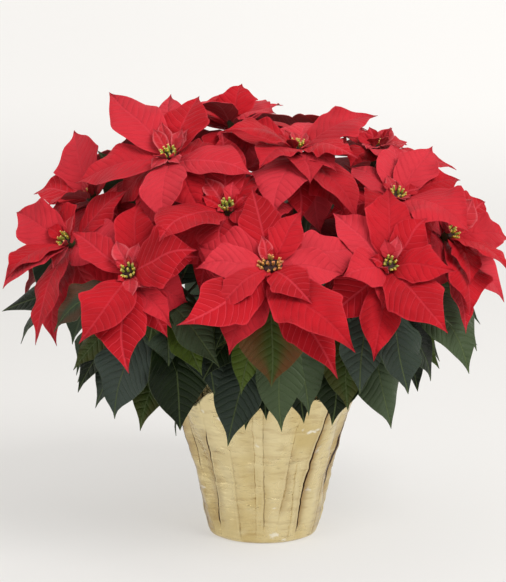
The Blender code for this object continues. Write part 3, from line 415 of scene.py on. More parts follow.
BLOOMS = (
    Bloom("01", "right", (6, -200, 319), (0, 30), 9, (
        Blade((-18, 59, 72), 38, 8),
        Blade((28, 36, 42), 26, 5),
        Blade((90, 51, 14), 46, 12),
        Blade((78, -84, -72), 52, 16, 6),
        Blade((-89, -58, -50), 46, 9, -8),
        Blade((-38, -60, -63), 46, 10, 6),
        Blade((37, -45, -58), 24, 8),
        Blade((62, -74, -95), 40, 6),
        Blade((22, -45, -50), 26, 8),
        Blade((-60, -36, 10), 36, 14),
        Blade((-50, -58, -22), 24, 20),
        Blade((-70, 40, 11), 46, 12),
        Blade((60, 50, 25), 44, 12),
        Blade((-9, 14, 26), 14, 3),
    ), (Ring(3, 20, 60, 8, 72),), 1.7),
    Bloom("02", "left", (-134, -170, 309), (-6, 28), 6, (
        Blade((9, 52, 68), 38, 8),
        Blade((34, 54, 52), 34, 6),
        Blade((-62, 40, 39), 28, 6),
        Blade((-44, -62, -62), 46, 12, -4),
        Blade((3, -62, -88), 42, 12, 5),
        Blade((69, -38, 26), 48, 12),
        Blade((43, -45, -47), 24, 6),
        Blade((57, 30, -34), 38, 8),
        Blade((-13, 26, 27), 17, 4),
        Blade((10, 21, 25), 14, 4),
        Blade((23, -14, -16), 16, 4),
        Blade((4, -24, -29), 16, 4),
    ), (Ring(2, 80, 60, -8, 78),)),
    Bloom("03", "right", (124, -170, 316), (8, 30), 6, (
        Blade((2, 51, 74), 44, 10),
        Blade((-24, 41, 39), 34, 6),
        Blade((52, -44, 8), 38, 12),
        Blade((51, -66, -58), 50, 14, 4),
        Blade((-8, -32, -37), 24, 5),
        Blade((-18, -58, -84), 36, 6),
        Blade((-48, -30, -8), 40, 10),
        Blade((40, 30, 44), 34, 8),
        Blade((-26, 50, 26), 34, 8),
        Blade((8, 18, 26), 14, 4),
    ), (Ring(3, 240, 40, -20, 84),)),
    Bloom("04", "left", (-37, -130, 370), (-10, 50), 5, (
        Blade((-6, 62, 73), 42, 8),
        Blade((-44, 36, 26), 28, 6),
        Blade((-25, 29, 26), 20, 4),
        Blade((30, 38, 32), 26, 6),
        Blade((-66, -72, -37), 58, 12, 6),
        Blade((-14, -52, -50), 42, 12),
        Blade((44, -36, -12), 34, 8),
        Blade((-29, 20, -88), 42, 10),
        Blade((-60, 35, -73), 42, 10),
    ), (Ring(5, 60, 62, -34, 84),)),
    Bloom("05", "left", (-97, -90, 422), (-25, 50), 6, (
        Blade((-68, 70, 64), 46, 8),
        Blade((29, 62, 60), 44, 8),
        Blade((-4, 84, 66), 40, 6),
        Blade((-101, 30, -31), 52, 12),
        Blade((10, -62, -66), 46, 14),
        Blade((60, 44, -14), 42, 16),
        Blade((-8, 27, 30), 15, 4),
        Blade((20, 19, 22), 15, 4),
        Blade((-17, 21, 22), 14, 4),
        Blade((-17, -17, -10), 16, 5),
        Blade((8, -16, -8), 14, 4),
    ), (Ring(5, 95, 50, -38, 92),)),
    Bloom("06", "right", (35, -60, 429), (0, 68), 6, (
        Blade((-40, -66, -20), 44, 14),
        Blade((-26, -80, -68), 50, 16),
        Blade((12, -62, -42), 36, 12),
        Blade((40, -46, -24), 32, 12),
        Blade((60, -58, -73), 46, 16),
        Blade((62, -50, -14), 40, 14),
        Blade((88, 42, 32), 46, 12),
        Blade((15, 70, 36), 42, 10),
        Blade((-81, 62, 30), 48, 10),
        Blade((-78, -44, 14), 42, 14),
        Blade((49, -30, -69), 40, 12),
        Blade((-13, 18, 13), 13, 3),
        Blade((10, 19, 14), 13, 3),
        Blade((-9, -22, -12), 14, 4),
        Blade((14, -17, -3), 13, 4),
    ), (Ring(5, 105, 45, -42, 96),)),
    Bloom("07", "right", (139, -80, 379), (22, 50), 5, (
        Blade((68, -62, -33), 60, 16),
        Blade((42, 52, 50), 38, 8),
        Blade((71, 40, 14), 40, 10),
        Blade((2, 60, 62), 38, 8),
        Blade((-46, 48, 30), 42, 10),
        Blade((31, -48, -45), 42, 10),
        Blade((-40, -40, -16), 34, 8),
        Blade((56, 38, 16), 34, 8),
        Blade((-11, 20, 16), 14, 3),
        Blade((12, -16, -8), 14, 4),
    ), (Ring(5, 150, 45, -34, 90),)),
    Bloom("08", "left", (-205, -90, 333), (-48, 32), 4, (
        Blade((-58, 46, 26), 44, 10),
        Blade((-58, -50, 10), 42, 12),
        Blade((-62, -50, -36), 40, 10),
        Blade((-27, -50, -102), 42, 14, -4),
        Blade((-6, -44, -104), 44, 10, 4),
        Blade((-14, 46, 38), 38, 8),
        Blade((34, -36, -18), 30, 8),
        Blade((-14, -22, -18), 15, 4),
        Blade((12, -10, 26), 14, 4),
    ), (Ring(4, 30, 40, -20, 80),)),
    Bloom("09", "right", (195, -80, 339), (48, 32), 4, (
        Blade((44, 54, 30), 44, 10),
        Blade((62, 36, -16), 42, 12),
        Blade((48, -52, -54), 42, 12),
        Blade((24, -50, -36), 34, 12),
        Blade((18, -54, -76), 44, 12),
        Blade((12, -46, -98), 34, 6),
        Blade((14, 34, 48), 38, 8),
        Blade((23, 20, 34), 34, 8),
        Blade((-12, -20, -56), 36, 10),
        Blade((14, -20, -10), 15, 4),
    ), (Ring(4, 250, 40, -18, 80),)),
    Bloom("10", "left", (-187, -20, 376), (-62, 52), 3, (
        Blade((-66, 40, -2), 44, 10),
        Blade((-54, 54, 18), 40, 8),
        Blade((-22, 54, 68), 46, 10),
        Blade((36, -42, -20), 38, 10),
        Blade((-40, -48, -10), 36, 10),
        Blade((34, 20, 47), 44, 8),
    ), (Ring(5, 40, 55, -22, 88),)),
    Bloom("11", "back", (-34, 40, 455), (-10, 82), 3, (
        Blade((-10, 62, 30), 46, 10),
        Blade((14, 48, 27), 40, 8),
        Blade((38, 58, 22), 40, 8),
        Blade((56, 56, 24), 34, 8),
        Blade((-34, -50, 18), 42, 12),
        Blade((-66, 24, 10), 46, 12),
        Blade((48, -44, 8), 38, 10),
        Blade((-60, 62, 4), 44, 12),
        Blade((15, -45, -31), 46, 12),
        Blade((-19, -42, -36), 42, 12),
    )),
    Bloom("12", "back", (125, 20, 428), (20, 66), 3, (
        Blade((-15, 23, 12), 20, 4),
        Blade((18, 22, 12), 20, 4),
        Blade((20, -19, -4), 20, 4),
        Blade((-14, -20, -8), 20, 4),
        Blade((30, 8, 16), 28, 6),
        Blade((-31, -35, -23), 42, 10),
        Blade((12, -58, -24), 44, 10),
        Blade((-30, 74, 14), 42, 10),
        Blade((44, -48, -28), 38, 8),
        Blade((24, 78, 4), 42, 10),
    )),
    Bloom("13", "left", (-128, 88, 402), (-140, 58), 3, (), (Ring(7, 0, 51, 6, 106),)),
    Bloom("14", "back", (72, 104, 423), (155, 68), 3, (), (Ring(7, 40, 51, 6, 106),)),
    Bloom("15", "left", (-212, 92, 322), (-112, 36), 3, (), (Ring(7, 10, 51, 4, 102),)),
    Bloom("16", "right", (196, 62, 338), (106, 40), 3, (), (Ring(8, 25, 45, 4, 104),)),
    Bloom("17", "back", (-98, 190, 330), (-150, 36), 3, (), (Ring(8, 5, 45, 4, 108),)),
    Bloom("18", "back", (44, 212, 326), (178, 34), 3, (), (Ring(8, 30, 45, 4, 106),)),
    Bloom("19", "back", (150, 160, 330), (138, 36), 3, (), (Ring(8, 15, 45, 4, 106),)),
    Bloom("20", "back", (52, 14, 440), (0, 86), 3, (), (Ring(7, 10, 51, 0, 76),)),
)

LEAVES = (
    Leaf("08", 0.62, Blade((-281, -40, 252), 46, 14)),
    Leaf("08", 0.50, Blade((-202, -70, 193), 42, 16), LeafTone.OLIVE),
    Leaf("02", 0.86, Blade((-212, -150, 246), 42, 22), LeafTone.BRONZE),
    Leaf("02", 0.45, Blade((-178, -80, 154), 50, 22), LeafTone.SLATE_SHEEN),
    Leaf("02", 0.58, Blade((-155, -112, 149), 62, 24), LeafTone.GREY_SHEEN),
    Leaf("02", 0.36, Blade((-129, -106, 135), 46, 18), LeafTone.OLIVE),
    Leaf("02", 0.30, Blade((-92, -98, 128), 30, 10, 0, 70), LeafTone.SLATE_SHEEN),
    Leaf("02", 0.68, Blade((-86, -128, 140), 58, 22)),
    Leaf("02", 0.80, Blade((-42, -186, 229), 38, 16), LeafTone.GREY_SHEEN),
    Leaf("02", 0.74, Blade((-62, -156, 202), 36, 14), LeafTone.BRIGHT),
    Leaf("02", 0.52, Blade((-52, -136, 172), 46, 22), LeafTone.SLATE_SHEEN),
    Leaf("01", 0.50, Blade((-62, -150, 196), 44, 20)),
    Leaf("01", 0.46, Blade((-37, -140, 126), 52, 22), LeafTone.SLATE_SHEEN),
    Leaf("01", 0.38, Blade((-19, -126, 140), 38, 16)),
    Leaf("01", 0.64, Blade((-23, -168, 185), 32, 14), LeafTone.BRIGHT),
    Leaf("01", 0.86, Blade((7, -200, 199), 58, 16), LeafTone.TURNING),
    Leaf("01", 0.72, Blade((18, -168, 147), 42, 22), LeafTone.GREY_SHEEN),
    Leaf("01", 0.54, Blade((46, -146, 159), 42, 18), LeafTone.GREY_SHEEN),
    Leaf("03", 0.44, Blade((70, -132, 146), 54, 22)),
    Leaf("03", 0.56, Blade((86, -140, 163), 46, 20), LeafTone.OLIVE),
    Leaf("03", 0.82, Blade((96, -168, 186), 40, 18), LeafTone.GREY_SHEEN),
    Leaf("03", 0.52, Blade((133, -110, 138), 52, 22), LeafTone.GREY_SHEEN),
    Leaf("03", 0.66, Blade((175, -96, 186), 46, 20)),
    Leaf("09", 0.46, Blade((186, -78, 196), 46, 18), LeafTone.BRIGHT),
    Leaf("09", 0.70, Blade((214, -104, 195), 58, 22), LeafTone.GREY_SHEEN),
    Leaf("09", 0.86, Blade((228, -112, 252), 42, 18)),
    Leaf("02", 0.70, Blade((-102, -118, 200), 44, 16), LeafTone.SLATE_SHEEN),
    Leaf("01", 0.62, Blade((-53, -122, 175), 44, 18), LeafTone.OLIVE),
    Leaf("01", 0.40, Blade((4, -122, 146), 40, 18)),
    Leaf("01", 0.44, Blade((35, -124, 146), 40, 18)),
    Leaf("02", 0.84, Blade((-58, -150, 233), 40, 14)),
    Leaf("02", 0.64, Blade((-62, -128, 178), 46, 16)),
    Leaf("01", 0.70, Blade((-44, -134, 190), 40, 12)),
    Leaf("01", 0.80, Blade((-26, -150, 228), 40, 14)),
    Leaf("02", 0.78, Blade((-116, -140, 231), 40, 14)),
)

LEAF_RINGS = {
    "05": (2, -100, 0.45),
    "10": (3, -95, 0.40),
    "07": (2, 80, 0.45),
    "13": (3, -140, 0.42),
    "14": (3, 178, 0.42),
    "15": (4, -112, 0.40),
    "16": (6, 96, 0.36),
    "17": (4, -155, 0.40),
    "18": (4, 182, 0.40),
    "19": (4, 140, 0.40),
}
"""Leaves of the hidden sides: count, middle azimuth and the lowest leaf's place on the branch."""

FILL_BRACTS = (
    ("11", Blade((46, -31, -82), 45, 8)),
    ("09", Blade((59, 8, -73), 45, 8)),
    ("06", Blade((53, 53, -66), 48, 8)),
    ("11", Blade((-51, 29, -14), 27, 8)),
    ("12", Blade((39, 43, -37), 35, 8)),
    ("12", Blade((90, 15, -28), 39, 8)),
)
"""Low bracts between the blooms, each with the bloom that bears it, placed after all others."""

FILL_LEAVES = (
    Leaf("16", 0.50, Blade((167, -44, 165), 58, 17)),
    Leaf("13", 0.85, Blade((-23, 163, 354), 53, 16)),
    Leaf("16", 0.65, Blade((139, 22, 406), 58, 15)),
    Leaf("08", 0.45, Blade((-53, -74, 367), 58, 14)),
    Leaf("13", 0.65, Blade((-183, 28, 422), 58, 17)),
    Leaf("17", 0.65, Blade((2, 148, 407), 58, 17)),
    Leaf("13", 0.85, Blade((-88, -26, 414), 44, 13)),
    Leaf("07", 0.75, Blade((-17, -101, 304), 58, 17)),
    Leaf("14", 0.85, Blade((-18, 81, 314), 47, 12)),
    Leaf("03", 0.65, Blade((193, -129, 249), 51, 13)),
    Leaf("10", 0.40, Blade((-26, 28, 388), 58, 17)),
    Leaf("06", 0.45, Blade((-19, -16, 175), 58, 16)),
    Leaf("13", 0.65, Blade((-213, 48, 325), 58, 15)),
    Leaf("03", 0.80, Blade((144, -174, 187), 58, 14)),
    Leaf("05", 0.30, Blade((-5, -29, 378), 52, 15)),
)
"""Leaves inside the crown, placed after all others."""

BENDS: dict[str, dict[int, tuple[float, ...] | None]] = {
    "01": {
        1: (-10,), 5: (19,), 7: (3,), 8: (0, 9), 9: (25, -4), 10: (25,), 11: (-6,), 12: (19,), 14: (10,),
        15: (25, -9), 16: (-19, -4), 18: None, 19: None, 20: (-3,), 21: None,
    },
    "02": {2: (3,), 4: (3,), 6: (3,), 8: (-3,), 9: (-6,), 15: (-32, -4), 16: None, 17: (19,), 18: (6,)},
    "03": {
        2: (14,), 4: (6,), 5: (3,), 7: (-3,), 9: (-6,), 11: (32,), 12: (-6, -9), 14: (0, 0, 0.6), 15: None,
        16: (-32, 9), 17: (3,),
    },
    "04": {1: (6,), 2: (-3,), 4: (-6,), 5: (10,), 12: (-3,), 13: (0, 4), 14: (3, -4)},
    "05": {
        2: (3,), 4: (0, -9), 8: (-3,), 9: (19,), 10: (19, 9), 11: (-25,), 12: (-19, 4, 0.8), 14: (3,),
        17: (-14, 4), 19: (-3,), 20: None,
    },
    "06": {
        2: (-6,), 5: (-3,), 7: (10,), 8: (10,), 9: (-3,), 12: (14,), 14: (19,), 15: (14,), 16: (19,),
        17: (-6, 9), 18: (6,), 22: (32,), 25: (-10,),
    },
    "07": {
        3: (10,), 4: (3,), 6: (-6,), 7: (14,), 8: (-3,), 9: (19,), 10: (3,), 13: (-3, 4), 14: (0, -4),
        17: (3,), 18: (-3,),
    },
    "08": {
        1: (32,), 2: (6,), 6: (3,), 7: (25, -4), 8: (3,), 10: (3,), 11: (32,), 12: (48,), 13: (19,),
        14: (10,), 15: (-10,), 16: None,
    },
    "09": {
        1: (-10,), 2: (-14,), 3: (14,), 4: (3,), 6: (25,), 7: (3,), 8: (25,), 9: (25,), 12: (0, 4, 0.8),
        13: (10,), 15: (-25, -9), 16: None, 17: None, 18: None,
    },
    "10": {1: (14,), 6: (3,), 7: (10,), 8: (-3, -4), 11: (-10,), 13: (-3,), 14: (-25, 9), 15: (-19, -4)},
    "11": {1: (-19,), 3: (6,), 5: (3,), 8: (6,), 9: (14,), 12: (10,), 13: None, 15: (-3,)},
    "12": {1: (-6,), 4: (40,), 6: (0, 9), 8: (6,), 13: (-25, 9), 14: (-32,), 16: (14, -9)},
    "14": {0: (6,), 1: (10,), 2: (10,), 3: (6,), 5: (25, 4), 6: (3,)},
    "15": {1: (0, -4), 2: (3,), 6: (19,)},
    "16": {4: (3,), 5: (6,), 7: (-3, 9)},
    "17": {1: (3,), 2: (10,), 6: (6,), 7: (3,)},
    "18": {1: (0, -4), 2: (3,), 3: (3,), 7: (19,)},
    "19": {0: (14,), 1: (14,), 2: (14,), 5: (-10,), 6: (-10,), 7: (3,)},
    "20": {0: (25,), 2: (-3,), 3: (6,), 4: (14, -9), 6: (10, 4)},
    "left": {
        8: (10,), 10: (-6,), 11: (-19,), 12: (3,), 13: (6,), 14: (-10,), 15: (32, 4), 16: (48, 9), 17: (3,),
        20: (0, 9), 22: (14,), 25: (-3,),
    },
    "right": {
        14: (48, 9), 15: (-25, 4, 0.8), 16: (-6,), 17: (3, 4), 18: (-25, 4, 0.8), 19: (-19,), 20: (-10,),
        21: None, 26: (0, 4),
    },
    "back": {1: (25, -9), 2: (19, 4), 6: (19,), 8: (14, 9), 11: (19, 4), 13: (-3, 9), 14: (10,)},
}
"""How the blades are bent clear of each other, by bloom or plant and in the order of planning.

Each is lifted and swung in degrees, and some are scaled. None finds no place and is left out, and a blade
that isn't listed stays as planned."""


def facing_vector(azimuth: float, elevation: float) -> Vector:
    """Unit vector for an azimuth from the front (-Y) towards +X, and an elevation."""
    a, e = radians(azimuth), radians(elevation)
    return Vector((sin(a) * cos(e), -cos(a) * cos(e), sin(e)))


def plane_axes(normal: Vector) -> tuple[Vector, Vector]:
    """Finds the right and up of a bloom's plane.

    Args:
        normal: the way that the bloom faces.

    Returns:
        The two directions, as seen by someone whom the bloom faces.
    """
    up = Vector((0, 0, 1)) - normal * normal.z
    if up.length < NEARLY_LEVEL:
        up = Vector((0, 1, 0)) - normal * normal.y
    up.normalize()
    return up.cross(normal).normalized(), up


def bow_axes(chord: Vector, facing: Vector, roll: float) -> tuple[Vector, Vector]:
    """Finds how a blade lies about its chord.

    Args:
        chord: from its root to its tip.
        facing: the way that its face looks.
        roll: its turn about the chord in degrees.

    Returns:
        Its face's normal and its sideways direction, square to the chord.
    """
    along = chord.normalized()
    face = facing - along * facing.dot(along)
    if face.length < NEARLY_PARALLEL:
        face = Vector((0, -1, 0)) - along * -along.y
    face.normalize()
    face.rotate(Quaternion(along, radians(roll)))
    return face, along.cross(face)


def outline(t: float, stalk: float) -> float:
    """Gives a blade's plain outline.

    Args:
        t: the share of its length from the root.
        stalk: the share of its length that is stalk.

    Returns:
        The half width there, as a share of its widest.
    """
    if t <= stalk:
        return 0.0
    s = (t - stalk) / (1.0 - stalk)
    widest = BLADE.rise / (BLADE.rise + BLADE.fall)
    peak = widest**BLADE.rise * (1.0 - widest) ** BLADE.fall
    return s**BLADE.rise * (1.0 - s) ** BLADE.fall / peak


def smooth_step(low: float, high: float, value: float) -> float:
    """0 below low, 1 above high and a smooth rise between."""
    share = min(1.0, max(0.0, (value - low) / (high - low)))
    return share * share * (3.0 - 2.0 * share)


def opened(t: float) -> float:
    """How far a blade has opened at t of its length."""
    return min(1.0, 3.0 * t * t)


def bell(offset: float, spread: float) -> float:
    """1 at no offset, falling to nothing some spreads away."""
    return exp(-((offset / spread) ** 2))


def standing_frame(origin: Vector, normal: Vector) -> Matrix:
    """A frame in metres whose +Z is the normal."""
    return Matrix.Translation(origin * MM) @ normal.to_track_quat("Z", "Y").to_matrix().to_4x4()


def shifted(x: float, y: float, z: float) -> Matrix:
    """A shift by distances in mm."""
    return Matrix.Translation((x * MM, y * MM, z * MM))


@dataclass(frozen=True)
class Habit:
    """How one blade differs from the plain form: shoulders, margin ripple and a winding midrib."""

    shoulders: Pair
    teeth: Pair
    ripple: float
    ripple_turns: float
    wind: float
    droop: float
    taper: float
    curl: Pair

    @classmethod
    def drawn(cls, chance: Random, toothed: float) -> "Habit":
        """A habit drawn at random.

        Args:
            chance: the random draw.
            toothed: how large a tooth on the shoulder can be, as a share of the half width.

        Returns:
            The habit.
        """
        return cls(
            shoulders=(chance.uniform(0.46, 0.66), chance.uniform(0.46, 0.66)),
            teeth=tuple(max(0.0, chance.uniform(-0.5, 1.0)) * toothed for _ in range(2)),
            ripple=chance.uniform(1.1, 3.2),
            ripple_turns=chance.uniform(2.2, 4.6),
            wind=chance.uniform(-3.6, 3.6),
            droop=chance.uniform(-1.0, 3.0),
            taper=chance.uniform(0.30, 0.55),
            curl=(chance.uniform(-0.38, 0.26), chance.uniform(-0.38, 0.26)),
        )


@dataclass(frozen=True)
class Placement:
    """A blade where it grows: root and tip in mm, the way its face looks, and its shape."""

    root: Vector
    tip: Vector
    facing: Vector
    width: float
    bow: float
    side: float = 0.0
    roll: float = 0.0
    shade: float = 0.0
    stalk: float = BLADE.bract_stalk
    phase: float = 0.0
    by_hand: bool = False
    inner: bool = False
    tone: LeafTone | None = None

    @classmethod
    def of(cls, blade: Blade, root: Vector, tip: Vector, facing: Vector, **rest: object) -> "Placement":
        """Places a blade of the tables.

        Args:
            blade: the blade.
            root: where it starts, in mm.
            tip: where it ends, in mm.
            facing: the way that its face looks.
            **rest: what else is known of it.

        Returns:
            The blade as planned.
        """
        shape = {"width": blade.width, "bow": blade.bow, "side": blade.side, "roll": blade.roll}
        return cls(root=root, tip=tip, facing=facing, shade=blade.shade, **shape, **rest)

    def section(self, t: float) -> tuple[Vector, Vector, Vector, float]:
        """The blade's middle at a share of its length.

        Args:
            t: the share, from root to tip.

        Returns:
            The midrib's point, the directions across and out of the face, and the half width.
        """
        chord = self.tip - self.root
        face, aside = bow_axes(chord, self.facing, self.roll)
        hump = 4.0 * t * (1.0 - t)
        slope = 4.0 * (1.0 - 2.0 * t)
        middle = self.root + chord * t + face * (self.bow * hump) + aside * (self.side * hump)
        tangent = (chord + face * (self.bow * slope) + aside * (self.side * slope)).normalized()
        across = tangent.cross(face).normalized()
        half = max(outline(t, self.stalk) * self.width / 2.0, BLADE.petiole * (1.0 - t))
        return middle, across, across.cross(tangent), half

    def rise(self, u: float, t: float, half: float) -> float:
        """How far the fold and the waves lift the blade at u across and t along."""
        turn = BLADE.wave_turns * t + self.phase + (BLADE.wave_shift if u > 0 else 0.0)
        return abs(u) * half * opened(t) * (BLADE.fold + BLADE.wave * sin(turn))

    @property
    def length(self) -> float:
        """The length of the blade's chord."""
        return (self.tip - self.root).length

    @property
    def detail(self) -> Detail:
        """How finely this blade is drawn."""
        large = Detail.LARGE if self.by_hand else Detail.MIDDLE
        return Detail.SMALL if self.length < BLADE.inner_length else large

    def swung(self, lift: float, swing: float = 0.0, scale: float = 1.0) -> "Placement":
        """Turns the blade about its root.

        Args:
            lift: how far it is lifted towards its face, in degrees.
            swing: how far it is swung aside, in degrees.
            scale: its new length and width, as a share.

        Returns:
            The bent blade.
        """
        chord = self.tip - self.root
        face, aside = bow_axes(chord, self.facing, 0.0)
        chord.rotate(Quaternion(aside, radians(-lift)))
        chord.rotate(Quaternion(face, radians(swing)))
        return replace(self, tip=self.root + chord * scale, width=self.width * scale)


class Growth:
    """Plans where every stem and blade grows, as the model does."""

    def __init__(self) -> None:
        """Plans all bracts and leaves, then bends them clear of each other."""
        self.chance = Random(SEED)
        blooms = {bloom.name: bloom for bloom in BLOOMS}
        bracts = {name: self.plan_bracts(bloom) for name, bloom in blooms.items()}
        leaves = {plant: self.plan_leaves(plant) for plant in PLANTS}
        for name, blade in FILL_BRACTS:
            bracts[name].append(self.bract(blooms[name], blade, BLADE.lowest, 0.0, False))
        for i, leaf in enumerate(FILL_LEAVES):
            bloom = blooms[leaf.branch]
            toned = replace(leaf, tone=RULE_TONES[i % len(RULE_TONES)])
            leaves[bloom.plant].append(self.stalked_leaf(toned, bloom, 0.0, False))
        for name, bloom in blooms.items():
            bracts[name] += self.young_bracts(bloom)
        self.bracts = {name: self.bent(name, blades) for name, blades in bracts.items()}
        self.leaves = {plant: self.bent(plant, blades) for plant, blades in leaves.items()}

    @staticmethod
    def bent(name: str, blades: list[Placement]) -> list[Placement]:
        """Bends blades clear of their neighbours, as the model does.

        Args:
            name: their bloom's or plant's name.
            blades: the blades as planned.

        Returns:
            The bent blades, without those that find no place.
        """
        bends = BENDS.get(name, {})
        pairs = [(blade, bends.get(i, UNBENT)) for i, blade in enumerate(blades)]
        return [blade.swung(*bend) for blade, bend in pairs if bend]

    @staticmethod
    def branch_points(bloom: Bloom) -> list[Vector]:
        """Runs a branch from its plant's trunk to a bloom, in a smooth bend.

        Args:
            bloom: the bloom that it bears.

        Returns:
            Points of its axis in mm, the last under the bloom.
        """
        x, y = PLANTS[bloom.plant]
        start = Vector((x, y, STEM.trunk_top - STEM.depth_in_trunk))
        normal = bloom.normal
        end = bloom.along_normal(-STEM.end_height - SEAT)
        reach = (end - start).length
        out = Vector((end.x - x, end.y - y, 0.0)).normalized()
        first = start + (Vector((0, 0, STEM.rise)) + out * STEM.spread) * reach
        second = end - normal * (STEM.approach * reach)
        points = []
        for i in range(STEM.steps + 1):
            t = i / STEM.steps
            s = 1.0 - t
            points.append(s**3 * start + 3 * s * s * t * first + 3 * s * t * t * second + t**3 * end)
        points.insert(-1, end - normal * STEM.neck)
        return points

    @classmethod
    def along_branch(cls, bloom: Bloom, share: float) -> Vector:
        """Finds a point of a branch.

        Args:
            bloom: the bloom that the branch bears.
            share: the share of its length from the trunk.

        Returns:
            The point in mm.
        """
        points = cls.branch_points(bloom)
        total = sum((b - a).length for a, b in zip(points, points[1:]))
        left = share * total
        for a, b in zip(points, points[1:]):
            step = (b - a).length
            if left <= step:
                return a.lerp(b, left / step)
            left -= step
        return points[-1]

    @staticmethod
    def trunk_points(plant: str) -> list[Vector]:
        """Sets out a trunk's axis.

        Args:
            plant: the plant's name.

        Returns:
            Its foot in the soil, its middle and its top.
        """
        x, y = PLANTS[plant]
        foot = POT.soil_top - POT.stem_hole_depth + SEAT
        return [Vector((x, y, z)) for z in (foot, 0.5 * (foot + STEM.trunk_top), STEM.trunk_top)]

    @staticmethod
    def stacking_levels(blades: list[Blade], normal: Vector) -> list[float]:
        """How far under the bloom's top each bract is rooted.

        Args:
            blades: the bloom's bracts.
            normal: the way the bloom faces.

        Returns:
            A depth in mm for each bract: the steeper it starts, the higher.
        """
        slopes = []
        for blade in blades:
            offset = Vector(blade.tip)
            rise = offset.dot(normal)
            reach = (offset - normal * rise).length
            inner = BLADE.inner_rank if offset.length < BLADE.inner_length else 0.0
            slopes.append(rise / reach + 4.0 * blade.bow / offset.length + inner)
        order = sorted(range(len(blades)), key=lambda i: slopes[i])
        outer = sum(slope < BLADE.inner_rank / 2.0 for slope in slopes)
        levels = [0.0] * len(blades)
        for rank, i in enumerate(order):
            if rank < outer:
                share = rank / max(outer - 1, 1)
                levels[i] = BLADE.lowest - (BLADE.lowest - BLADE.highest) * share
            else:
                share = (rank - outer) / max(len(blades) - outer - 1, 1)
                levels[i] = BLADE.lowest_inner - (BLADE.lowest_inner - BLADE.highest_inner) * share
        return levels

    def ring_blades(self, bloom: Bloom) -> list[Blade]:
        """Makes the bracts of a bloom's rings.

        Args:
            bloom: the bloom.

        Returns:
            The bracts that its rings add to those listed.
        """
        normal = bloom.normal
        right, up = plane_axes(normal)
        chance = self.chance
        blades = []
        for ring in bloom.rings:
            for i in range(ring.count):
                clock = radians(ring.start + i * ring.step + chance.uniform(-1, 1) * RULE.bract_turn)
                lift = radians(ring.lift + chance.uniform(-1, 1) * RULE.bract_lift)
                reach = ring.length * chance.uniform(*RULE.bract_reach)
                flat = right * sin(clock) + up * cos(clock)
                tip = (flat * cos(lift) + normal * sin(lift)) * reach
                width = reach * chance.uniform(*RULE.bract_width)
                blades.append(Blade(tuple(tip), width, chance.uniform(*RULE.bract_bow)))
        return blades

    def plan_bracts(self, bloom: Bloom) -> list[Placement]:
        """Plans a bloom's bracts.

        Args:
            bloom: the bloom.

        Returns:
            Those listed, then those of its rings.
        """
        blades = list(bloom.bracts) + self.ring_blades(bloom)
        bracts = []
        for i, (blade, level) in enumerate(zip(blades, self.stacking_levels(blades, bloom.normal))):
            phase = self.chance.uniform(0, 2 * pi)
            bracts.append(self.bract(bloom, blade, level, phase, i < len(bloom.bracts)))
        return bracts

    @staticmethod
    def bract(bloom: Bloom, blade: Blade, level: float, phase: float, by_hand: bool) -> Placement:
        """Roots one bract at its bloom.

        Args:
            bloom: the bloom.
            blade: the bract.
            level: how far under the bloom's top it is rooted, in mm.
            phase: where its waves start.
            by_hand: whether it is listed in the bloom's table.

        Returns:
            The bract as planned.
        """
        normal, offset = bloom.normal, Vector(blade.tip)
        flat = (offset - normal * offset.dot(normal)).normalized()
        inner = offset.length < BLADE.inner_length
        root = bloom.along_normal(-level) + flat * (BLADE.inner_root if inner else BLADE.bract_root)
        tip = Vector(bloom.centre) + offset + normal * (BLADE.inner_lift if inner else 0.0)
        return Placement.of(blade, root, tip, normal, phase=phase, by_hand=by_hand, inner=inner)

    def ring_leaves(self, bloom: Bloom) -> list[Leaf]:
        """Sets leaves round a branch of the hidden sides.

        Args:
            bloom: the bloom that the branch bears.

        Returns:
            The leaves, by rule.
        """
        count, middle, lowest = LEAF_RINGS[bloom.name]
        chance = self.chance
        leaves = []
        for i in range(count):
            along = lowest + RULE.leaf_span * i / (count - 1)
            root = self.along_branch(bloom, along)
            side = RULE.leaf_step * (i - (count - 1) / 2.0) * (1 if i % 2 else -1)
            azimuth = middle + side + chance.uniform(-1, 1) * RULE.leaf_turn
            way = facing_vector(azimuth, -chance.uniform(*RULE.leaf_droop))
            tip = root + way * chance.uniform(*RULE.leaf_length)
            width = chance.uniform(*RULE.leaf_width)
            tone = RULE_TONES[i % len(RULE_TONES)]
            leaves.append(Leaf(bloom.name, along, Blade(tuple(tip), width, RULE.leaf_bow), tone))
        return leaves

    def plan_leaves(self, plant: str) -> list[Placement]:
        """Plans a plant's leaves.

        Args:
            plant: the plant's name.

        Returns:
            Those listed, then those made by rule, on their stalks.
        """
        branches = {bloom.name: bloom for bloom in BLOOMS if bloom.plant == plant}
        leaves = [leaf for leaf in LEAVES if leaf.branch in branches]
        set_by_hand = len(leaves)
        for name in branches:
            if name in LEAF_RINGS:
                leaves += self.ring_leaves(branches[name])
        placements = []
        for i, leaf in enumerate(leaves):
            phase = self.chance.uniform(0, 2 * pi)
            placements.append(self.stalked_leaf(leaf, branches[leaf.branch], phase, i < set_by_hand))
        return placements

    @classmethod
    def stalked_leaf(cls, leaf: Leaf, bloom: Bloom, phase: float, by_hand: bool) -> Placement:
        """One leaf on its stalk.

        Args:
            leaf: the leaf.
            bloom: the bloom whose branch bears it.
            phase: where its waves start.
            by_hand: whether it is listed, and so turned towards the front.

        Returns:
            The leaf as planned.
        """
        root, tip = cls.along_branch(bloom, leaf.along), Vector(leaf.blade.tip)
        away = Vector((tip.x - root.x, tip.y - root.y, 0.0)).normalized()
        front = Vector((0, -RULE.leaf_front if by_hand else 0.0, 0))
        facing = (Vector((0, 0, RULE.leaf_up)) + away * RULE.leaf_out + front).normalized()
        rest = {"stalk": BLADE.leaf_stalk, "phase": phase, "by_hand": by_hand, "tone": leaf.tone}
        return Placement.of(leaf.blade, root, tip, facing, **rest)

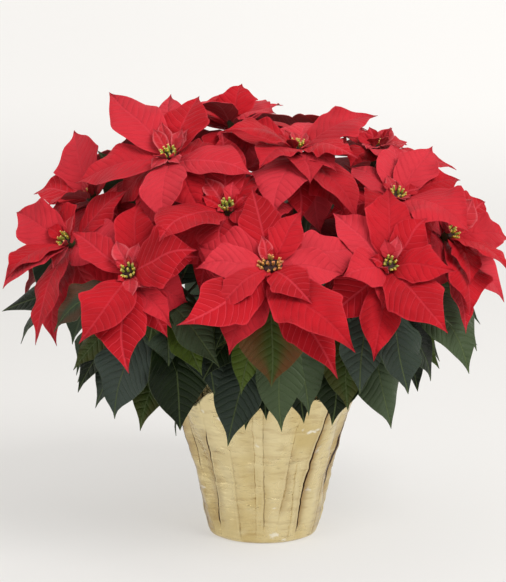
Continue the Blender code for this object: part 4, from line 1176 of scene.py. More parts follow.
    def young_bracts(self, bloom: Bloom) -> list[Placement]:
        """Plans the small young bracts round a bloom's cups.

        Args:
            bloom: the bloom.

        Returns:
            The young bracts, or none for a bloom made by rule.
        """
        normal, chance = bloom.normal, self.chance
        right, up = plane_axes(normal)
        young = []
        for i in range(YOUNG.count if bloom.bracts else 0):
            clock = 2.0 * pi * (i + chance.uniform(-YOUNG.turn, YOUNG.turn)) / YOUNG.count
            lift = radians(chance.uniform(*YOUNG.lift))
            reach = chance.uniform(*YOUNG.length)
            flat = right * sin(clock) * bloom.stretch**0.5 + up * cos(clock)
            young.append(
                Placement(
                    root=Vector(bloom.centre) + flat.normalized() * YOUNG.root,
                    tip=Vector(bloom.centre) + (flat * cos(lift) + normal * sin(lift)) * reach,
                    facing=normal,
                    width=reach * chance.uniform(*YOUNG.width),
                    bow=chance.uniform(*YOUNG.bow),
                    roll=chance.uniform(-YOUNG.roll, YOUNG.roll),
                    phase=chance.uniform(0.0, 2.0 * pi),
                    inner=chance.random() < YOUNG.pale_share,
                )
            )
        return young


class Graph:
    """Adds shader nodes to a new material and links their sockets."""

    def __init__(self, name: str) -> None:
        """Starts a material with its Principled shader.

        Args:
            name: the material's name.
        """
        self.material = bpy.data.materials.new(name)
        self.material.use_nodes = True
        self.tree = self.material.node_tree
        self.shader = self.tree.nodes["Principled BSDF"]

    def put(self, socket: Socket, value: Input) -> None:
        """Fills an input.

        Args:
            socket: the input.
            value: the socket that it is linked to, or its value.
        """
        if isinstance(value, bpy.types.NodeSocket):
            self.tree.links.new(value, socket)
        elif socket.type == "RGBA" and len(value) == 3:
            socket.default_value = (*value, 1.0)
        else:
            socket.default_value = value

    def node(self, kind: str, **inputs: Input) -> bpy.types.Node:
        """Adds a node.

        Args:
            kind: its type's name, without ShaderNode.
            **inputs: its inputs, spelled with _ for a space.

        Returns:
            The node.
        """
        node = self.tree.nodes.new("ShaderNode" + kind)
        for name, value in inputs.items():
            self.put(node.inputs[name.replace("_", " ")], value)
        return node

    def math(self, operation: str, a: Number, b: Number = 0.0) -> Socket:
        """Works out one step of arithmetic.

        Args:
            operation: the step, as the Math node names it.
            a: its first number.
            b: its second number, where it has one.

        Returns:
            The result.
        """
        node = self.node("Math")
        node.operation = operation
        self.put(node.inputs[0], a)
        self.put(node.inputs[1], b)
        return node.outputs[0]

    def times(self, a: Socket, b: Number) -> Socket:
        """One number times another."""
        return self.math("MULTIPLY", a, b)

    def total(self, *parts: tuple[Socket, float]) -> Socket:
        """Adds up numbers.

        Args:
            *parts: each number with its weight.

        Returns:
            The weighted sum.
        """
        result = self.times(*parts[0])
        for part in parts[1:]:
            result = self.math("ADD", result, self.times(*part))
        return result

    def ramp(self, value: Socket, low: float, high: float, start: float = 0.0, end: float = 1.0) -> Socket:
        """Turns a number into a smooth rise.

        Args:
            value: the number.
            low: where the rise starts.
            high: where it ends.
            start: its value up to there.
            end: its value past there.

        Returns:
            The rise.
        """
        node = self.node("MapRange", Value=value, From_Min=low, From_Max=high, To_Min=start, To_Max=end)
        node.interpolation_type = "SMOOTHSTEP"
        return node.outputs["Result"]

    def mix(self, share: Number, a: Tint, b: Tint) -> Socket:
        """Blends two colours.

        Args:
            share: how much of the second shows.
            a: the first colour.
            b: the second colour.

        Returns:
            The blend.
        """
        node = self.node("Mix")
        node.data_type = "RGBA"
        for name, value in (("Factor", share), ("A", a), ("B", b)):
            self.put(node.inputs[name], value)
        return node.outputs["Result"]

    def place(self, scale: Triple = (1.0, 1.0, 1.0)) -> Socket:
        """Object coordinates, stretched along each axis."""
        source = self.node("TexCoord").outputs["Object"]
        return self.node("Mapping", Vector=source, Scale=scale).outputs["Vector"]

    def noise(self, scale: float, detail: float = 3.0, stretch: Triple = (1.0, 1.0, 1.0)) -> Socket:
        """A smooth noise from 0 to 1 on Object coordinates, stretched along each axis."""
        place = self.place(stretch)
        return self.node("TexNoise", Scale=scale, Detail=detail, Vector=place).outputs["Fac"]

    def cells(self, scale: float) -> Socket:
        """Makes a random network.

        Args:
            scale: how fine it is.

        Returns:
            The distance to its nearest edge.
        """
        node = self.node("TexVoronoi", Scale=scale, Vector=self.place())
        node.feature = "DISTANCE_TO_EDGE"
        return node.outputs["Distance"]

    def split(self, vector: Socket) -> tuple[Socket, Socket, Socket]:
        """The three numbers of a vector."""
        return tuple(self.node("SeparateXYZ", Vector=vector).outputs)

    def attribute(self, name: str) -> tuple[Socket, Socket, Socket]:
        """Reads a mesh attribute.

        Args:
            name: the attribute's name.

        Returns:
            Its three numbers.
        """
        node = self.node("Attribute")
        node.attribute_name = name
        return self.split(node.outputs["Vector"])

    def bump(self, height: Socket, distance: float, strength: float) -> None:
        """Raises the surface.

        Args:
            height: by how much, as a share of the distance.
            distance: the height's full range in mm.
            strength: how strongly it shows.
        """
        node = self.node("Bump", Strength=strength, Distance=distance * MM, Height=height)
        self.put(self.shader.inputs["Normal"], node.outputs["Normal"])

    def dress(self, colour: Tint, roughness: Number, **inputs: Input) -> Material:
        """Sets the shader's colour, roughness and other inputs.

        Args:
            colour: the base colour.
            roughness: the roughness.
            **inputs: other inputs of the shader, spelled with _ for a space.

        Returns:
            The finished material.
        """
        for name, value in {"Base_Color": colour, "Roughness": roughness, **inputs}.items():
            self.put(self.shader.inputs[name.replace("_", " ")], value)
        return self.material


@dataclass(frozen=True)
class Veins:
    """The vein pattern of a blade: spacing in mm, slant, how wide the midrib is, and the veins' bend."""

    spacing: float
    slant: float
    midrib: float
    width: float = 0.80
    bend: float = 1.3
    wobble: float = 0.55
    stagger: float = 0.4

    def masks(self, graph: Graph) -> tuple[Socket, Socket, Socket]:
        """The pattern's masks from the blade's own growth attribute.

        Args:
            graph: the material's graph.

        Returns:
            The lateral veins, the midrib, and the distance from the nearest lateral vein.
        """
        along, across, _ = graph.attribute("growth")
        off = graph.math("ABSOLUTE", across)
        run = graph.total((along, 1.0), (off, -self.slant), (graph.times(off, off), -self.bend))
        side = graph.math("GREATER_THAN", across, 0.0)
        turns = graph.total(
            (run, GROWTH_UNIT / self.spacing), (graph.noise(60.0, 1.0), self.wobble), (side, self.stagger)
        )
        away = graph.math("ABSOLUTE", graph.math("SUBTRACT", graph.math("FRACT", turns), 0.5))
        peak = graph.times(away, 2.0)
        middle = graph.ramp(off, self.midrib / GROWTH_UNIT, self.midrib / (2.2 * GROWTH_UNIT))
        return graph.ramp(peak, self.width, 1.0), middle, peak

    @staticmethod
    def quilt(graph: Graph, peak: Socket) -> Socket:
        """The blade's swelling between its veins."""
        return graph.math("SUBTRACT", 1.0, graph.math("POWER", peak, 3.0))


@dataclass(frozen=True)
class BractFinish:
    """Velvety red with slightly raised ribs, pink sheen, a painted rim highlight, and pale edges on the small
    ones.
    """

    name: str = "bract_red"
    red: Colour = (0.565, 0.0085, 0.0175)
    deep: Colour = (0.215, 0.0020, 0.0038)
    rose: Colour = (0.830, 0.0590, 0.0850)
    pale: Colour = (0.800, 0.170, 0.190)
    shaded: Colour = (0.100, 0.0025, 0.0035)
    sheen: Colour = (1.0, 0.22, 0.27)
    roughness: float = 0.60
    veins: Veins = Veins(8.5, 0.62, 1.5)

    def material(self) -> Material:
        """Dresses the bracts' upper faces.

        Returns:
            The material.
        """
        graph = Graph(self.name)
        lateral, middle, peak = self.veins.masks(graph)
        edge, tone, inner = graph.attribute("kind")
        shade, ribbed, _ = graph.attribute("tint")
        blotch = graph.ramp(graph.noise(22.0, 2.0), 0.35, 0.7)
        colour = graph.mix(graph.times(blotch, 0.45), self.red, self.deep)
        colour = graph.mix(graph.ramp(tone, 0.0, 1.0, 0.0, 0.55), colour, self.rose)
        rib = graph.math("MAXIMUM", lateral, middle)
        colour = graph.mix(graph.times(rib, graph.ramp(ribbed, 0.3, 1.0, 0.12, 0.62)), colour, self.rose)
        # painted highlight: a thin rose line along the outer margin
        colour = graph.mix(graph.ramp(edge, 0.90, 1.0, 0.0, 0.28), colour, self.rose)
        light = graph.math("MAXIMUM", graph.times(rib, 0.22), graph.ramp(edge, 0.62, 1.0, 0.10, 0.75))
        colour = graph.mix(graph.times(light, graph.times(inner, 0.80)), colour, self.pale)
        colour = graph.mix(graph.times(shade, 0.8), colour, self.shaded)
        web = graph.ramp(graph.cells(650.0), 0.0, 0.10)
        swell, grain = graph.noise(42.0, 1.0), graph.noise(900.0, 2.0)
        quilt = self.veins.quilt(graph, peak)
        height = graph.total(
            (quilt, 0.6), (web, 0.16), (grain, 0.10), (swell, 5.5), (edge, 2.0), (middle, -0.4)
        )
        graph.bump(height, 1.4, 0.9)
        sheen = {"Sheen_Weight": 0.10, "Sheen_Roughness": 0.5, "Sheen_Tint": self.sheen}
        return graph.dress(colour, self.roughness, Specular_IOR_Level=0.11, **sheen)


@dataclass(frozen=True)
class BractBackFinish:
    """The bracts' undersides: duller and paler, with raised ribs."""

    name: str = "bract_underside"
    red: Colour = (0.380, 0.0160, 0.0260)
    pale: Colour = (0.500, 0.060, 0.070)
    deep: Colour = (0.200, 0.0050, 0.0080)
    roughness: float = 0.72
    veins: Veins = Veins(8.5, 0.62, 1.8)

    def material(self) -> Material:
        """Dresses the bracts' undersides.

        Returns:
            The material.
        """
        graph = Graph(self.name)
        lateral, middle, _ = self.veins.masks(graph)
        rib = graph.math("MAXIMUM", lateral, middle)
        colour = graph.mix(graph.times(rib, 0.6), self.red, self.pale)
        colour = graph.mix(graph.times(graph.noise(30.0), 0.4), colour, self.deep)
        graph.bump(graph.total((rib, 1.0), (graph.noise(800.0), 0.2)), 0.5, 0.8)
        sheen = {"Sheen_Weight": 0.08, "Sheen_Roughness": 0.6}
        return graph.dress(colour, self.roughness, Specular_IOR_Level=0.18, **sheen)


@dataclass(frozen=True)
class LeafFinish:
    """Deep green with a pale midrib, quilted between its veins, in several tones, some with a grey-blue
    painted sheen.
    """

    name: str = "leaf_green"
    dark: Colour = (0.0040, 0.0105, 0.0022)
    deep: Colour = (0.0105, 0.0230, 0.0040)
    grey: Colour = (0.0510, 0.0720, 0.0580)
    bright: Colour = (0.0840, 0.1300, 0.0165)
    red: Colour = (0.1700, 0.0160, 0.0110)
    line: Colour = (0.1150, 0.1550, 0.0560)
    roughness: Pair = (0.38, 0.50)
    veins: Veins = Veins(8.0, 0.50, 1.1, 0.86)

    def material(self) -> Material:
        """Dresses the leaves' upper faces.

        Returns:
            The material.
        """
        graph = Graph(self.name)
        lateral, middle, peak = self.veins.masks(graph)
        edge, tone, _ = graph.attribute("kind")
        grey, bright, red = graph.attribute("tint")
        colour = graph.mix(graph.ramp(graph.noise(28.0), 0.3, 0.7), self.dark, self.deep)
        # painted sheen: grey-blue laid over the green by the leaf's tone
        colour = graph.mix(grey, colour, self.grey)
        colour = graph.mix(bright, colour, self.bright)
        turning = graph.times(red, graph.ramp(edge, 0.10, 0.60))
        patch = graph.ramp(graph.noise(45.0, 2.0), 0.25, 0.7, 0.55, 1.0)
        colour = graph.mix(graph.times(turning, patch), colour, self.red)
        colour = graph.mix(graph.ramp(tone, 0.0, 1.0, 0.0, 0.38), colour, self.bright)
        colour = graph.mix(graph.times(lateral, 0.20), colour, self.line)
        colour = graph.mix(graph.times(middle, 0.62), colour, self.line)
        colour = graph.mix(graph.ramp(edge, 0.965, 1.0, 0.0, 0.35), colour, self.line)
        quilt, web = self.veins.quilt(graph, peak), graph.ramp(graph.cells(420.0), 0.0, 0.12)
        height = graph.total((quilt, 0.7), (web, 0.2), (graph.noise(36.0, 1.0), 4.5), (middle, -0.5))
        graph.bump(height, 1.6, 0.9)
        satin = graph.ramp(graph.noise(60.0), 0.2, 0.8, *self.roughness)
        return graph.dress(colour, satin, Specular_IOR_Level=0.20)


@dataclass(frozen=True)
class LeafBackFinish:
    """The leaves' undersides: lighter, matte grey-green with raised veins."""

    name: str = "leaf_underside"
    green: Colour = (0.0300, 0.0560, 0.0230)
    deep: Colour = (0.0180, 0.0380, 0.0130)
    line: Colour = (0.0900, 0.1300, 0.0620)
    roughness: float = 0.62
    veins: Veins = Veins(8.0, 0.50, 2.0, 0.84)

    def material(self) -> Material:
        """Dresses the leaves' undersides.

        Returns:
            The material.
        """
        graph = Graph(self.name)
        lateral, middle, _ = self.veins.masks(graph)
        rib = graph.math("MAXIMUM", lateral, middle)
        colour = graph.mix(graph.times(graph.noise(35.0), 0.6), self.green, self.deep)
        colour = graph.mix(graph.times(rib, 0.55), colour, self.line)
        graph.bump(graph.total((rib, 1.0), (graph.noise(500.0), 0.2)), 0.6, 0.8)
        return graph.dress(colour, self.roughness, Specular_IOR_Level=0.25)


@dataclass(frozen=True)
class StemFinish:
    """Stems: green, browner and corky towards the soil, with a reddish blush on the stalks."""

    name: str = "stem_green"
    green: Colour = (0.030, 0.055, 0.014)
    brown: Colour = (0.042, 0.028, 0.014)
    blush: Colour = (0.090, 0.014, 0.010)
    roughness: float = 0.6

    def material(self) -> Material:
        """Dresses trunks, branches and stalks.

        Returns:
            The material.
        """
        graph = Graph(self.name)
        streak = graph.noise(160.0, 3.0, (1.0, 1.0, 0.25))
        colour = graph.mix(graph.times(streak, 0.6), self.green, self.brown)
        _, _, height = graph.attribute("growth")
        colour = graph.mix(graph.ramp(height, 0.0, 1.0, 0.0, 0.7), colour, self.blush)
        graph.bump(streak, 0.5, 0.7)
        return graph.dress(colour, self.roughness, Specular_IOR_Level=0.35)


@dataclass(frozen=True)
class PlainFinish:
    """A finish of one colour broken up by fine noise, for small parts, pot and soil."""

    name: str
    base: Colour
    other: Colour
    roughness: float
    scale: float = 400.0
    bump: float = 0.2
    shine: float = 0.4

    def material(self) -> Material:
        """Breaks up the colour and the surface by the same noise.

        Returns:
            The material.
        """
        graph = Graph(self.name)
        grain = graph.noise(self.scale, 4.0)
        colour = graph.mix(graph.ramp(grain, 0.3, 0.7), self.base, self.other)
        graph.bump(grain, self.bump, 0.8)
        return graph.dress(colour, self.roughness, Specular_IOR_Level=self.shine)


@dataclass(frozen=True)
class FoilFinish:
    """Pale gold foil: satin metal with fine crinkles, brown painted shade in its creases, and painted amber
    shade and highlights.
    """

    name: str = "gold_foil"
    gold: Colour = (0.68, 0.535, 0.245)
    light: Colour = (0.82, 0.70, 0.405)
    glint: Colour = (0.96, 0.92, 0.78)
    amber: Colour = (0.340, 0.200, 0.070)
    brown: Colour = (0.040, 0.011, 0.004)
    metal: float = 0.86
    roughness: Pair = (0.20, 0.31)

    def material(self) -> Material:
        """Dresses the foil, painting shade and highlights by its crease attribute.

        Returns:
            The material.
        """
        graph = Graph(self.name)
        crease, painted_highlight, halo = graph.attribute("crease")
        wide = graph.noise(22.0, 2.0, (1.0, 1.0, 0.6))
        soft = graph.noise(32.0, 2.0, (1.0, 1.0, 1.5))
        flat = graph.noise(66.0, 4.0, (0.6, 0.6, 3.0))
        fine = graph.noise(180.0, 2.0, (1.0, 1.0, 2.2))
        upright = graph.noise(120.0, 2.0, (1.0, 1.0, 0.12))
        painted_glints = graph.ramp(graph.noise(44.0, 4.0, (1.0, 1.0, 1.7)), 0.66, 0.73)
        colour = graph.mix(graph.ramp(wide, 0.3, 0.7), self.gold, self.light)
        # painted shade: amber in the hollows of the crinkle noise that also raises the bump
        colour = graph.mix(graph.ramp(flat, 0.32, 0.47, 0.24, 0.0), colour, self.amber)
        # painted glints: small near-white spots
        colour = graph.mix(graph.times(painted_glints, 0.80), colour, self.glint)
        # painted shade: the amber haze beside the folds
        colour = graph.mix(graph.times(halo, 0.95), colour, self.amber)
        # painted highlight on the fold ridges and the wrinkles' crests
        colour = graph.mix(graph.times(painted_highlight, 0.75), colour, self.light)
        # painted shade: brown in the creases
        colour = graph.mix(graph.ramp(crease, 0.10, 0.40), colour, self.brown)
        graph.bump(graph.total((soft, 1.2), (flat, 1.0), (fine, 0.16), (upright, 0.14)), 3.3, 0.75)
        satin = graph.ramp(wide, 0.2, 0.8, *self.roughness)
        return graph.dress(colour, satin, Metallic=self.metal, Specular_IOR_Level=0.5)


@dataclass(frozen=True)
class StudioFinish:
    """The pale paper that the pot stands on, glowing as painted light."""

    name: str = "studio_paper"
    colour: Colour = (0.40, 0.395, 0.385)
    shade: Colour = (0.39, 0.385, 0.375)
    glow: Colour = (1.0, 0.979, 0.950)
    floor_to_wall: Pair = (0.447, 0.596)
    left_to_right: Pair = (-0.01, 0.04)

    def material(self) -> Material:
        """Makes a matte pale sheet glow as painted light, more so where it rises into the wall.

        Returns:
            The material.
        """
        graph = Graph(self.name)
        x, _, z = graph.split(graph.place())
        aside = graph.ramp(x, -0.9, 0.9, *self.left_to_right)
        level = graph.math("ADD", graph.ramp(z, 0.0, 0.5, *self.floor_to_wall), aside)
        paper = graph.mix(graph.times(graph.noise(6.0, 2.0), 0.15), self.colour, self.shade)
        # painted light: the paper glows, more up the wall and a little more towards the right
        glow = {"Emission_Color": self.glow, "Emission_Strength": level}
        return graph.dress(paper, 0.9, Specular_IOR_Level=0.1, **glow)


GREEN_CUPS = (
    PlainFinish("cup_green", (0.20, 0.27, 0.030), (0.36, 0.40, 0.05), 0.5, 500.0),
    PlainFinish("gland_yellow", (0.78, 0.62, 0.06), (0.70, 0.50, 0.05), 0.35, 600.0),
    PlainFinish("anther_yellow", (0.90, 0.80, 0.30), (0.80, 0.66, 0.16), 0.6, 900.0),
)
RIPE_CUPS = (
    PlainFinish("cup_golden", (0.34, 0.25, 0.050), (0.46, 0.20, 0.060), 0.5, 500.0),
    PlainFinish("gland_orange", (0.86, 0.50, 0.10), (0.80, 0.36, 0.10), 0.35, 600.0),
    PlainFinish("anther_orange", (0.88, 0.40, 0.18), (0.80, 0.28, 0.16), 0.6, 900.0),
)
# the receptacle under the cups, near-black as painted shade in the gaps between them
CUP_BED = PlainFinish("bed_painted_shade", (0.022, 0.008, 0.005), (0.05, 0.008, 0.007), 0.7, 300.0)
POT_PLASTIC = PlainFinish("pot_plastic", (0.020, 0.026, 0.020), (0.03, 0.035, 0.03), 0.5)
SOIL_DARK = PlainFinish("soil_dark", (0.030, 0.018, 0.011), (0.075, 0.048, 0.030), 0.95, 220.0, 1.6, 0.2)


class Sheet:
    """A mesh under construction that blades, tubes and small bodies are added to."""

    def __init__(self) -> None:
        """Starts an empty mesh with the attributes that the finishes read."""
        self.bm = bmesh.new()
        layers = self.bm.verts.layers.float_vector
        self.growth, self.kind, self.tint, self.crease = map(layers.new, ("growth", "kind", "tint", "crease"))

    def grid(self, columns: int, rows: int) -> list[tuple[Vertex, float, float]]:
        """Lays out a grid.

        Args:
            columns: how many faces it has across.
            rows: how many it has along.

        Returns:
            Its vertices, each with how far across and along it lies, as shares.
        """
        made = bmesh.ops.create_grid(self.bm, x_segments=columns, y_segments=rows, size=1.0)["verts"]
        return [(vert, (vert.co.x + 1.0) / 2.0, (vert.co.y + 1.0) / 2.0) for vert in made]

    @staticmethod
    def smooth_faces(verts: list[Vertex], slot: int = 0) -> list[Face]:
        """Makes the faces round vertices smooth.

        Args:
            verts: the vertices.
            slot: the faces' material slot.

        Returns:
            The faces.
        """
        faces = list({face for vert in verts for face in vert.link_faces})
        for face in faces:
            face.material_index = slot
            face.smooth = True
        return faces

    def add_blade(self, blade: Placement, chance: Random, toothed: float) -> None:
        """Draws a blade's open surface in its fine form.

        Args:
            blade: the bent blade.
            chance: the random draw for its habit.
            toothed: how large a tooth on its shoulders can be.
        """
        habit = Habit.drawn(chance, toothed)
        tone, ribbed = chance.uniform(*BLADE.tones), chance.random()
        form = FineBlade(blade, habit)
        grid = self.grid(*blade.detail.value)
        for vert, share, t in grid:
            u = 2.0 * share - 1.0
            point, across = form.point(u, t)
            vert.co = point * MM
            vert[self.growth] = (t * blade.length / GROWTH_UNIT, across / GROWTH_UNIT, t)
            vert[self.kind] = (abs(u), tone, 1.0 if blade.inner else 0.0)
            vert[self.tint] = blade.tone.value if blade.tone else (blade.shade, ribbed, 0)
        faces = self.smooth_faces([vert for vert, _, _ in grid])
        bmesh.ops.recalc_face_normals(self.bm, faces=faces)
        lift = blade.section(0.5)[2]
        if sum(face.normal.dot(lift) * face.calc_area() for face in faces) < 0.0:
            bmesh.ops.reverse_faces(self.bm, faces=faces)
        tips = [vert for vert, _, t in grid if t > TIP]
        bmesh.ops.remove_doubles(self.bm, verts=tips, dist=5.0 * WELD)
        for edge in {edge for face in faces if face.is_valid for edge in face.edges}:
            edge.smooth = not edge.is_boundary

    def add_tube(self, points: list[Vector], radii: list[float], sides: int, blush: float = 0.0) -> None:
        """Adds a closed round tube: a grid wrapped round a run of points.

        Args:
            points: the middle line in mm.
            radii: the radius in mm at each point.
            sides: how many sides it has.
            blush: the blush at its far end, from 0 to 1.
        """
        last = len(points) + 1
        frames = []
        side = Vector((0.0, 0.0, 0.0))
        for i, point in enumerate(points):
            way = (points[min(i + 1, len(points) - 1)] - points[max(i - 1, 0)]).normalized()
            side = side - way * side.dot(way)
            if side.length < NEARLY_PARALLEL:
                side = way.orthogonal()
            side.normalize()
            frames.append((point, side.copy(), way.cross(side)))
        grid = self.grid(sides, last)
        for vert, share, along in grid:
            angle = 2.0 * pi * share
            row = round(along * last)
            station = min(max(row - 1, 0), len(points) - 1)
            point, right, up = frames[station]
            radius = 0.0 if row in (0, last) else radii[station]
            vert.co = (point + right * (cos(angle) * radius) + up * (sin(angle) * radius)) * MM
            vert[self.growth] = (0.0, 0.0, blush * station / (len(points) - 1))
        made = [vert for vert, _, _ in grid]
        faces = self.smooth_faces(made)
        bmesh.ops.remove_doubles(self.bm, verts=made, dist=WELD)
        bmesh.ops.recalc_face_normals(self.bm, faces=[face for face in faces if face.is_valid])

    def add_ball(self, place: Matrix, size: Triple, segments: int, slot: int = 0) -> None:
        """Adds a stretched ball.

        Args:
            place: where its middle is, in metres.
            size: its half sizes in mm.
            segments: how many segments it has round.
            slot: its material slot.
        """
        scale = Matrix.Diagonal((*(half * MM for half in size), 1.0))
        rings = max(4, segments // 2 + 1)
        made = bmesh.ops.create_uvsphere(
            self.bm, u_segments=segments, v_segments=rings, radius=1.0, matrix=place @ scale
        )
        self.smooth_faces(made["verts"], slot)

    def finish(self, name: str, materials: list[Material], wall: float = 0.0) -> Piece:
        """Makes the object of the finished mesh and links it to the scene.

        Args:
            name: the object's name.
            materials: its materials, the last for the underside of a wall.
            wall: the thickness in mm that an open sheet gets.

        Returns:
            The object.
        """
        mesh = bpy.data.meshes.new(name)
        self.bm.to_mesh(mesh)
        self.bm.free()
        for material in materials:
            mesh.materials.append(material)
        piece = bpy.data.objects.new(name, mesh)
        bpy.context.scene.collection.objects.link(piece)
        if wall:
            solidify = piece.modifiers.new("wall", "SOLIDIFY")
            solidify.thickness = wall * MM
            solidify.offset = -1.0
            solidify.material_offset = len(materials) - 1
            solidify.material_offset_rim = 0
        return piece


@dataclass(frozen=True)
class FineBlade:
    """The fine form of a blade: the model's surface with its habit laid over it."""

    blade: Placement
    habit: Habit

    def half_width(self, u: float, t: float, half: float) -> float:
        """Gives the blade its shoulder teeth and drawn-out tip.

        Args:
            u: from -1 to 1 across.
            t: from 0 to 1, root to tip.
            half: the plain half width there, in mm.

        Returns:
            The half width on that side, in mm.
        """
        blade, habit = self.blade, self.habit
        s = max(0.0, (t - blade.stalk) / (1.0 - blade.stalk))
        which = 1 if u > 0 else 0
        off = s - habit.shoulders[which]
        tooth = habit.teeth[which] * bell(off, MARGIN.tooth_lead if off < 0 else MARGIN.tooth_drop)
        taper = 1.0 - habit.taper * smooth_step(*MARGIN.taper, s)
        full = 1.0 + MARGIN.belly * bell(s - MARGIN.belly_at, MARGIN.belly_spread)
        turn = MARGIN.wobble_turns * s + blade.phase + MARGIN.wobble_shift * which
        return half * (1.0 + tooth) * taper * full * (1.0 + MARGIN.wobble * sin(turn))

    def point(self, u: float, t: float) -> tuple[Vector, float]:
        """A point of the fine surface.

        Args:
            u: from -1 to 1 across.
            t: from 0 to 1, root to tip.

        Returns:
            The point in mm, and how far it lies from the midrib.
        """
        blade, habit = self.blade, self.habit
        middle, across, lift, plain = blade.section(t)
        half = self.half_width(u, t, plain)
        wide = opened(t)
        size = blade.width / MARGIN.full_width
        rise = blade.rise(u, t, plain)
        bent = max(0.0, abs(u) - MARGIN.curl_from) / (1.0 - MARGIN.curl_from)
        rise += habit.curl[1 if u > 0 else 0] * half * bent * bent * wide * (1.0 - t**4)
        turn = 2.0 * pi * habit.ripple_turns * t + blade.phase + (MARGIN.ripple_shift if u > 0 else 0.0)
        rise += habit.ripple * size * abs(u) ** 3 * sin(turn) * wide * (1.0 - t**6)
        rise -= MARGIN.groove * size * bell(u, MARGIN.groove_spread) * wide * (1.0 - t)
        rise -= habit.droop * size * smooth_step(MARGIN.droop_from, 1.0, t) * (1.0 - t) * 4.0
        wind = habit.wind * size * sin(2.0 * pi * t) * wide
        return middle + across * (u * half + wind) + lift * rise, u * half


def hand_over(piece: Piece, node: str = "") -> None:
    """Sets a piece on the body.

    Args:
        piece: the piece.
        node: the model's node that it stands for, if any.
    """
    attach(piece, ROOT_BODY)
    if node:
        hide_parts(node)
    LOG.info("%s built", piece.name)


@dataclass(frozen=True)
class BloomBracts:
    """A bloom's bracts, drawn out of its middle."""

    bloom: Bloom
    places: list[Placement]
    finishes: list[Material]

    def build(self) -> None:
        """Builds the bracts as one piece in place of their node."""
        chance = Draw.BRACTS.chance(int(self.bloom.name))
        sheet = Sheet()
        for place in self.places:
            sheet.add_blade(place, chance, 0.0 if place.inner else BLADE.bract_teeth)
        node = f"bloom_{self.bloom.name}_bracts"
        hand_over(sheet.finish(node + "_fine", self.finishes, BLADE.bract_wall), node)


@dataclass(frozen=True)
class BloomMiddle:
    """The cluster of cups in a bloom's middle: green bodies, yellow glands and anthers."""

    bloom: Bloom
    finishes: list[Material]
    sizes: CupSizes = CUP

    def places(self, chance: Random) -> list[Triple]:
        """Spreads the cups over the bed.

        Args:
            chance: the random draw.

        Returns:
            Where they stand: across, up and height in mm.
        """
        s, stretch = self.sizes, self.bloom.stretch
        if self.bloom.cups <= s.few:
            return [(s.few_reach * cos(a), s.few_reach * sin(a), s.few_height) for a in s.few_angles]
        spots = [(x, s.row_up, s.row_height) for x in (s.row if stretch > 1.0 else (0.0,))]
        count = self.bloom.cups + s.added
        for i in range(count):
            angle = 2.0 * pi * (i + 0.5) / count + chance.uniform(-0.2, 0.2)
            reach = s.reach + chance.uniform(-s.reach_vary, s.reach_vary)
            spots.append((reach * stretch * cos(angle), reach * sin(angle), chance.uniform(*s.height)))
        return spots

    def build(self) -> None:
        """Builds the cluster in place of its node."""
        s, normal = self.sizes, self.bloom.normal
        chance = Draw.CUPS.chance(int(self.bloom.name))
        base = standing_frame(self.bloom.along_normal(SEAT), normal)
        sheet = Sheet()
        # the dark bed: painted shade under the cups
        bed = (s.bed_radius * self.bloom.stretch, s.bed_radius, s.bed_height)
        sheet.add_ball(base @ shifted(0.0, 0.0, s.bed_lift), bed, s.bed_segments, len(self.finishes) - 1)
        for spot in self.places(chance):
            self.add_cup(sheet, base, spot, chance)
        node = f"bloom_{self.bloom.name}_cyathia"
        hand_over(sheet.finish(node + "_fine", self.finishes), node)

    def add_cup(self, sheet: Sheet, base: Matrix, spot: Triple, chance: Random) -> None:
        """Adds one cup with its gland and anthers, leaning outwards.

        Args:
            sheet: the mesh.
            base: the bloom's frame.
            spot: its place across and up, and its height, in mm.
            chance: the random draw.
        """
        s = self.sizes
        x, y, height = spot
        lean = Matrix.Rotation(s.lean * (x * x + y * y) ** 0.5, 4, Vector((-y, x, 0.001)))
        place = base @ shifted(x, y, 0.0) @ lean
        body = (s.radius, s.radius, height * 0.5)
        sheet.add_ball(place @ shifted(0.0, 0.0, height * 0.5), body, s.segments)
        turn = chance.uniform(0, 2 * pi)
        gland = shifted(s.gland_reach * cos(turn), s.gland_reach * sin(turn), height * s.gland_at)
        sheet.add_ball(place @ gland, s.gland, s.gland_segments, 1)
        for i in range(s.anthers):
            angle = turn + 2.0 * pi * i / s.anthers + chance.uniform(-0.4, 0.4)
            reach = chance.uniform(*s.anther_reach)
            tip = shifted(reach * cos(angle), reach * sin(angle), height + s.anther_lift)
            sheet.add_ball(place @ tip, s.anther, s.anther_segments, 2)


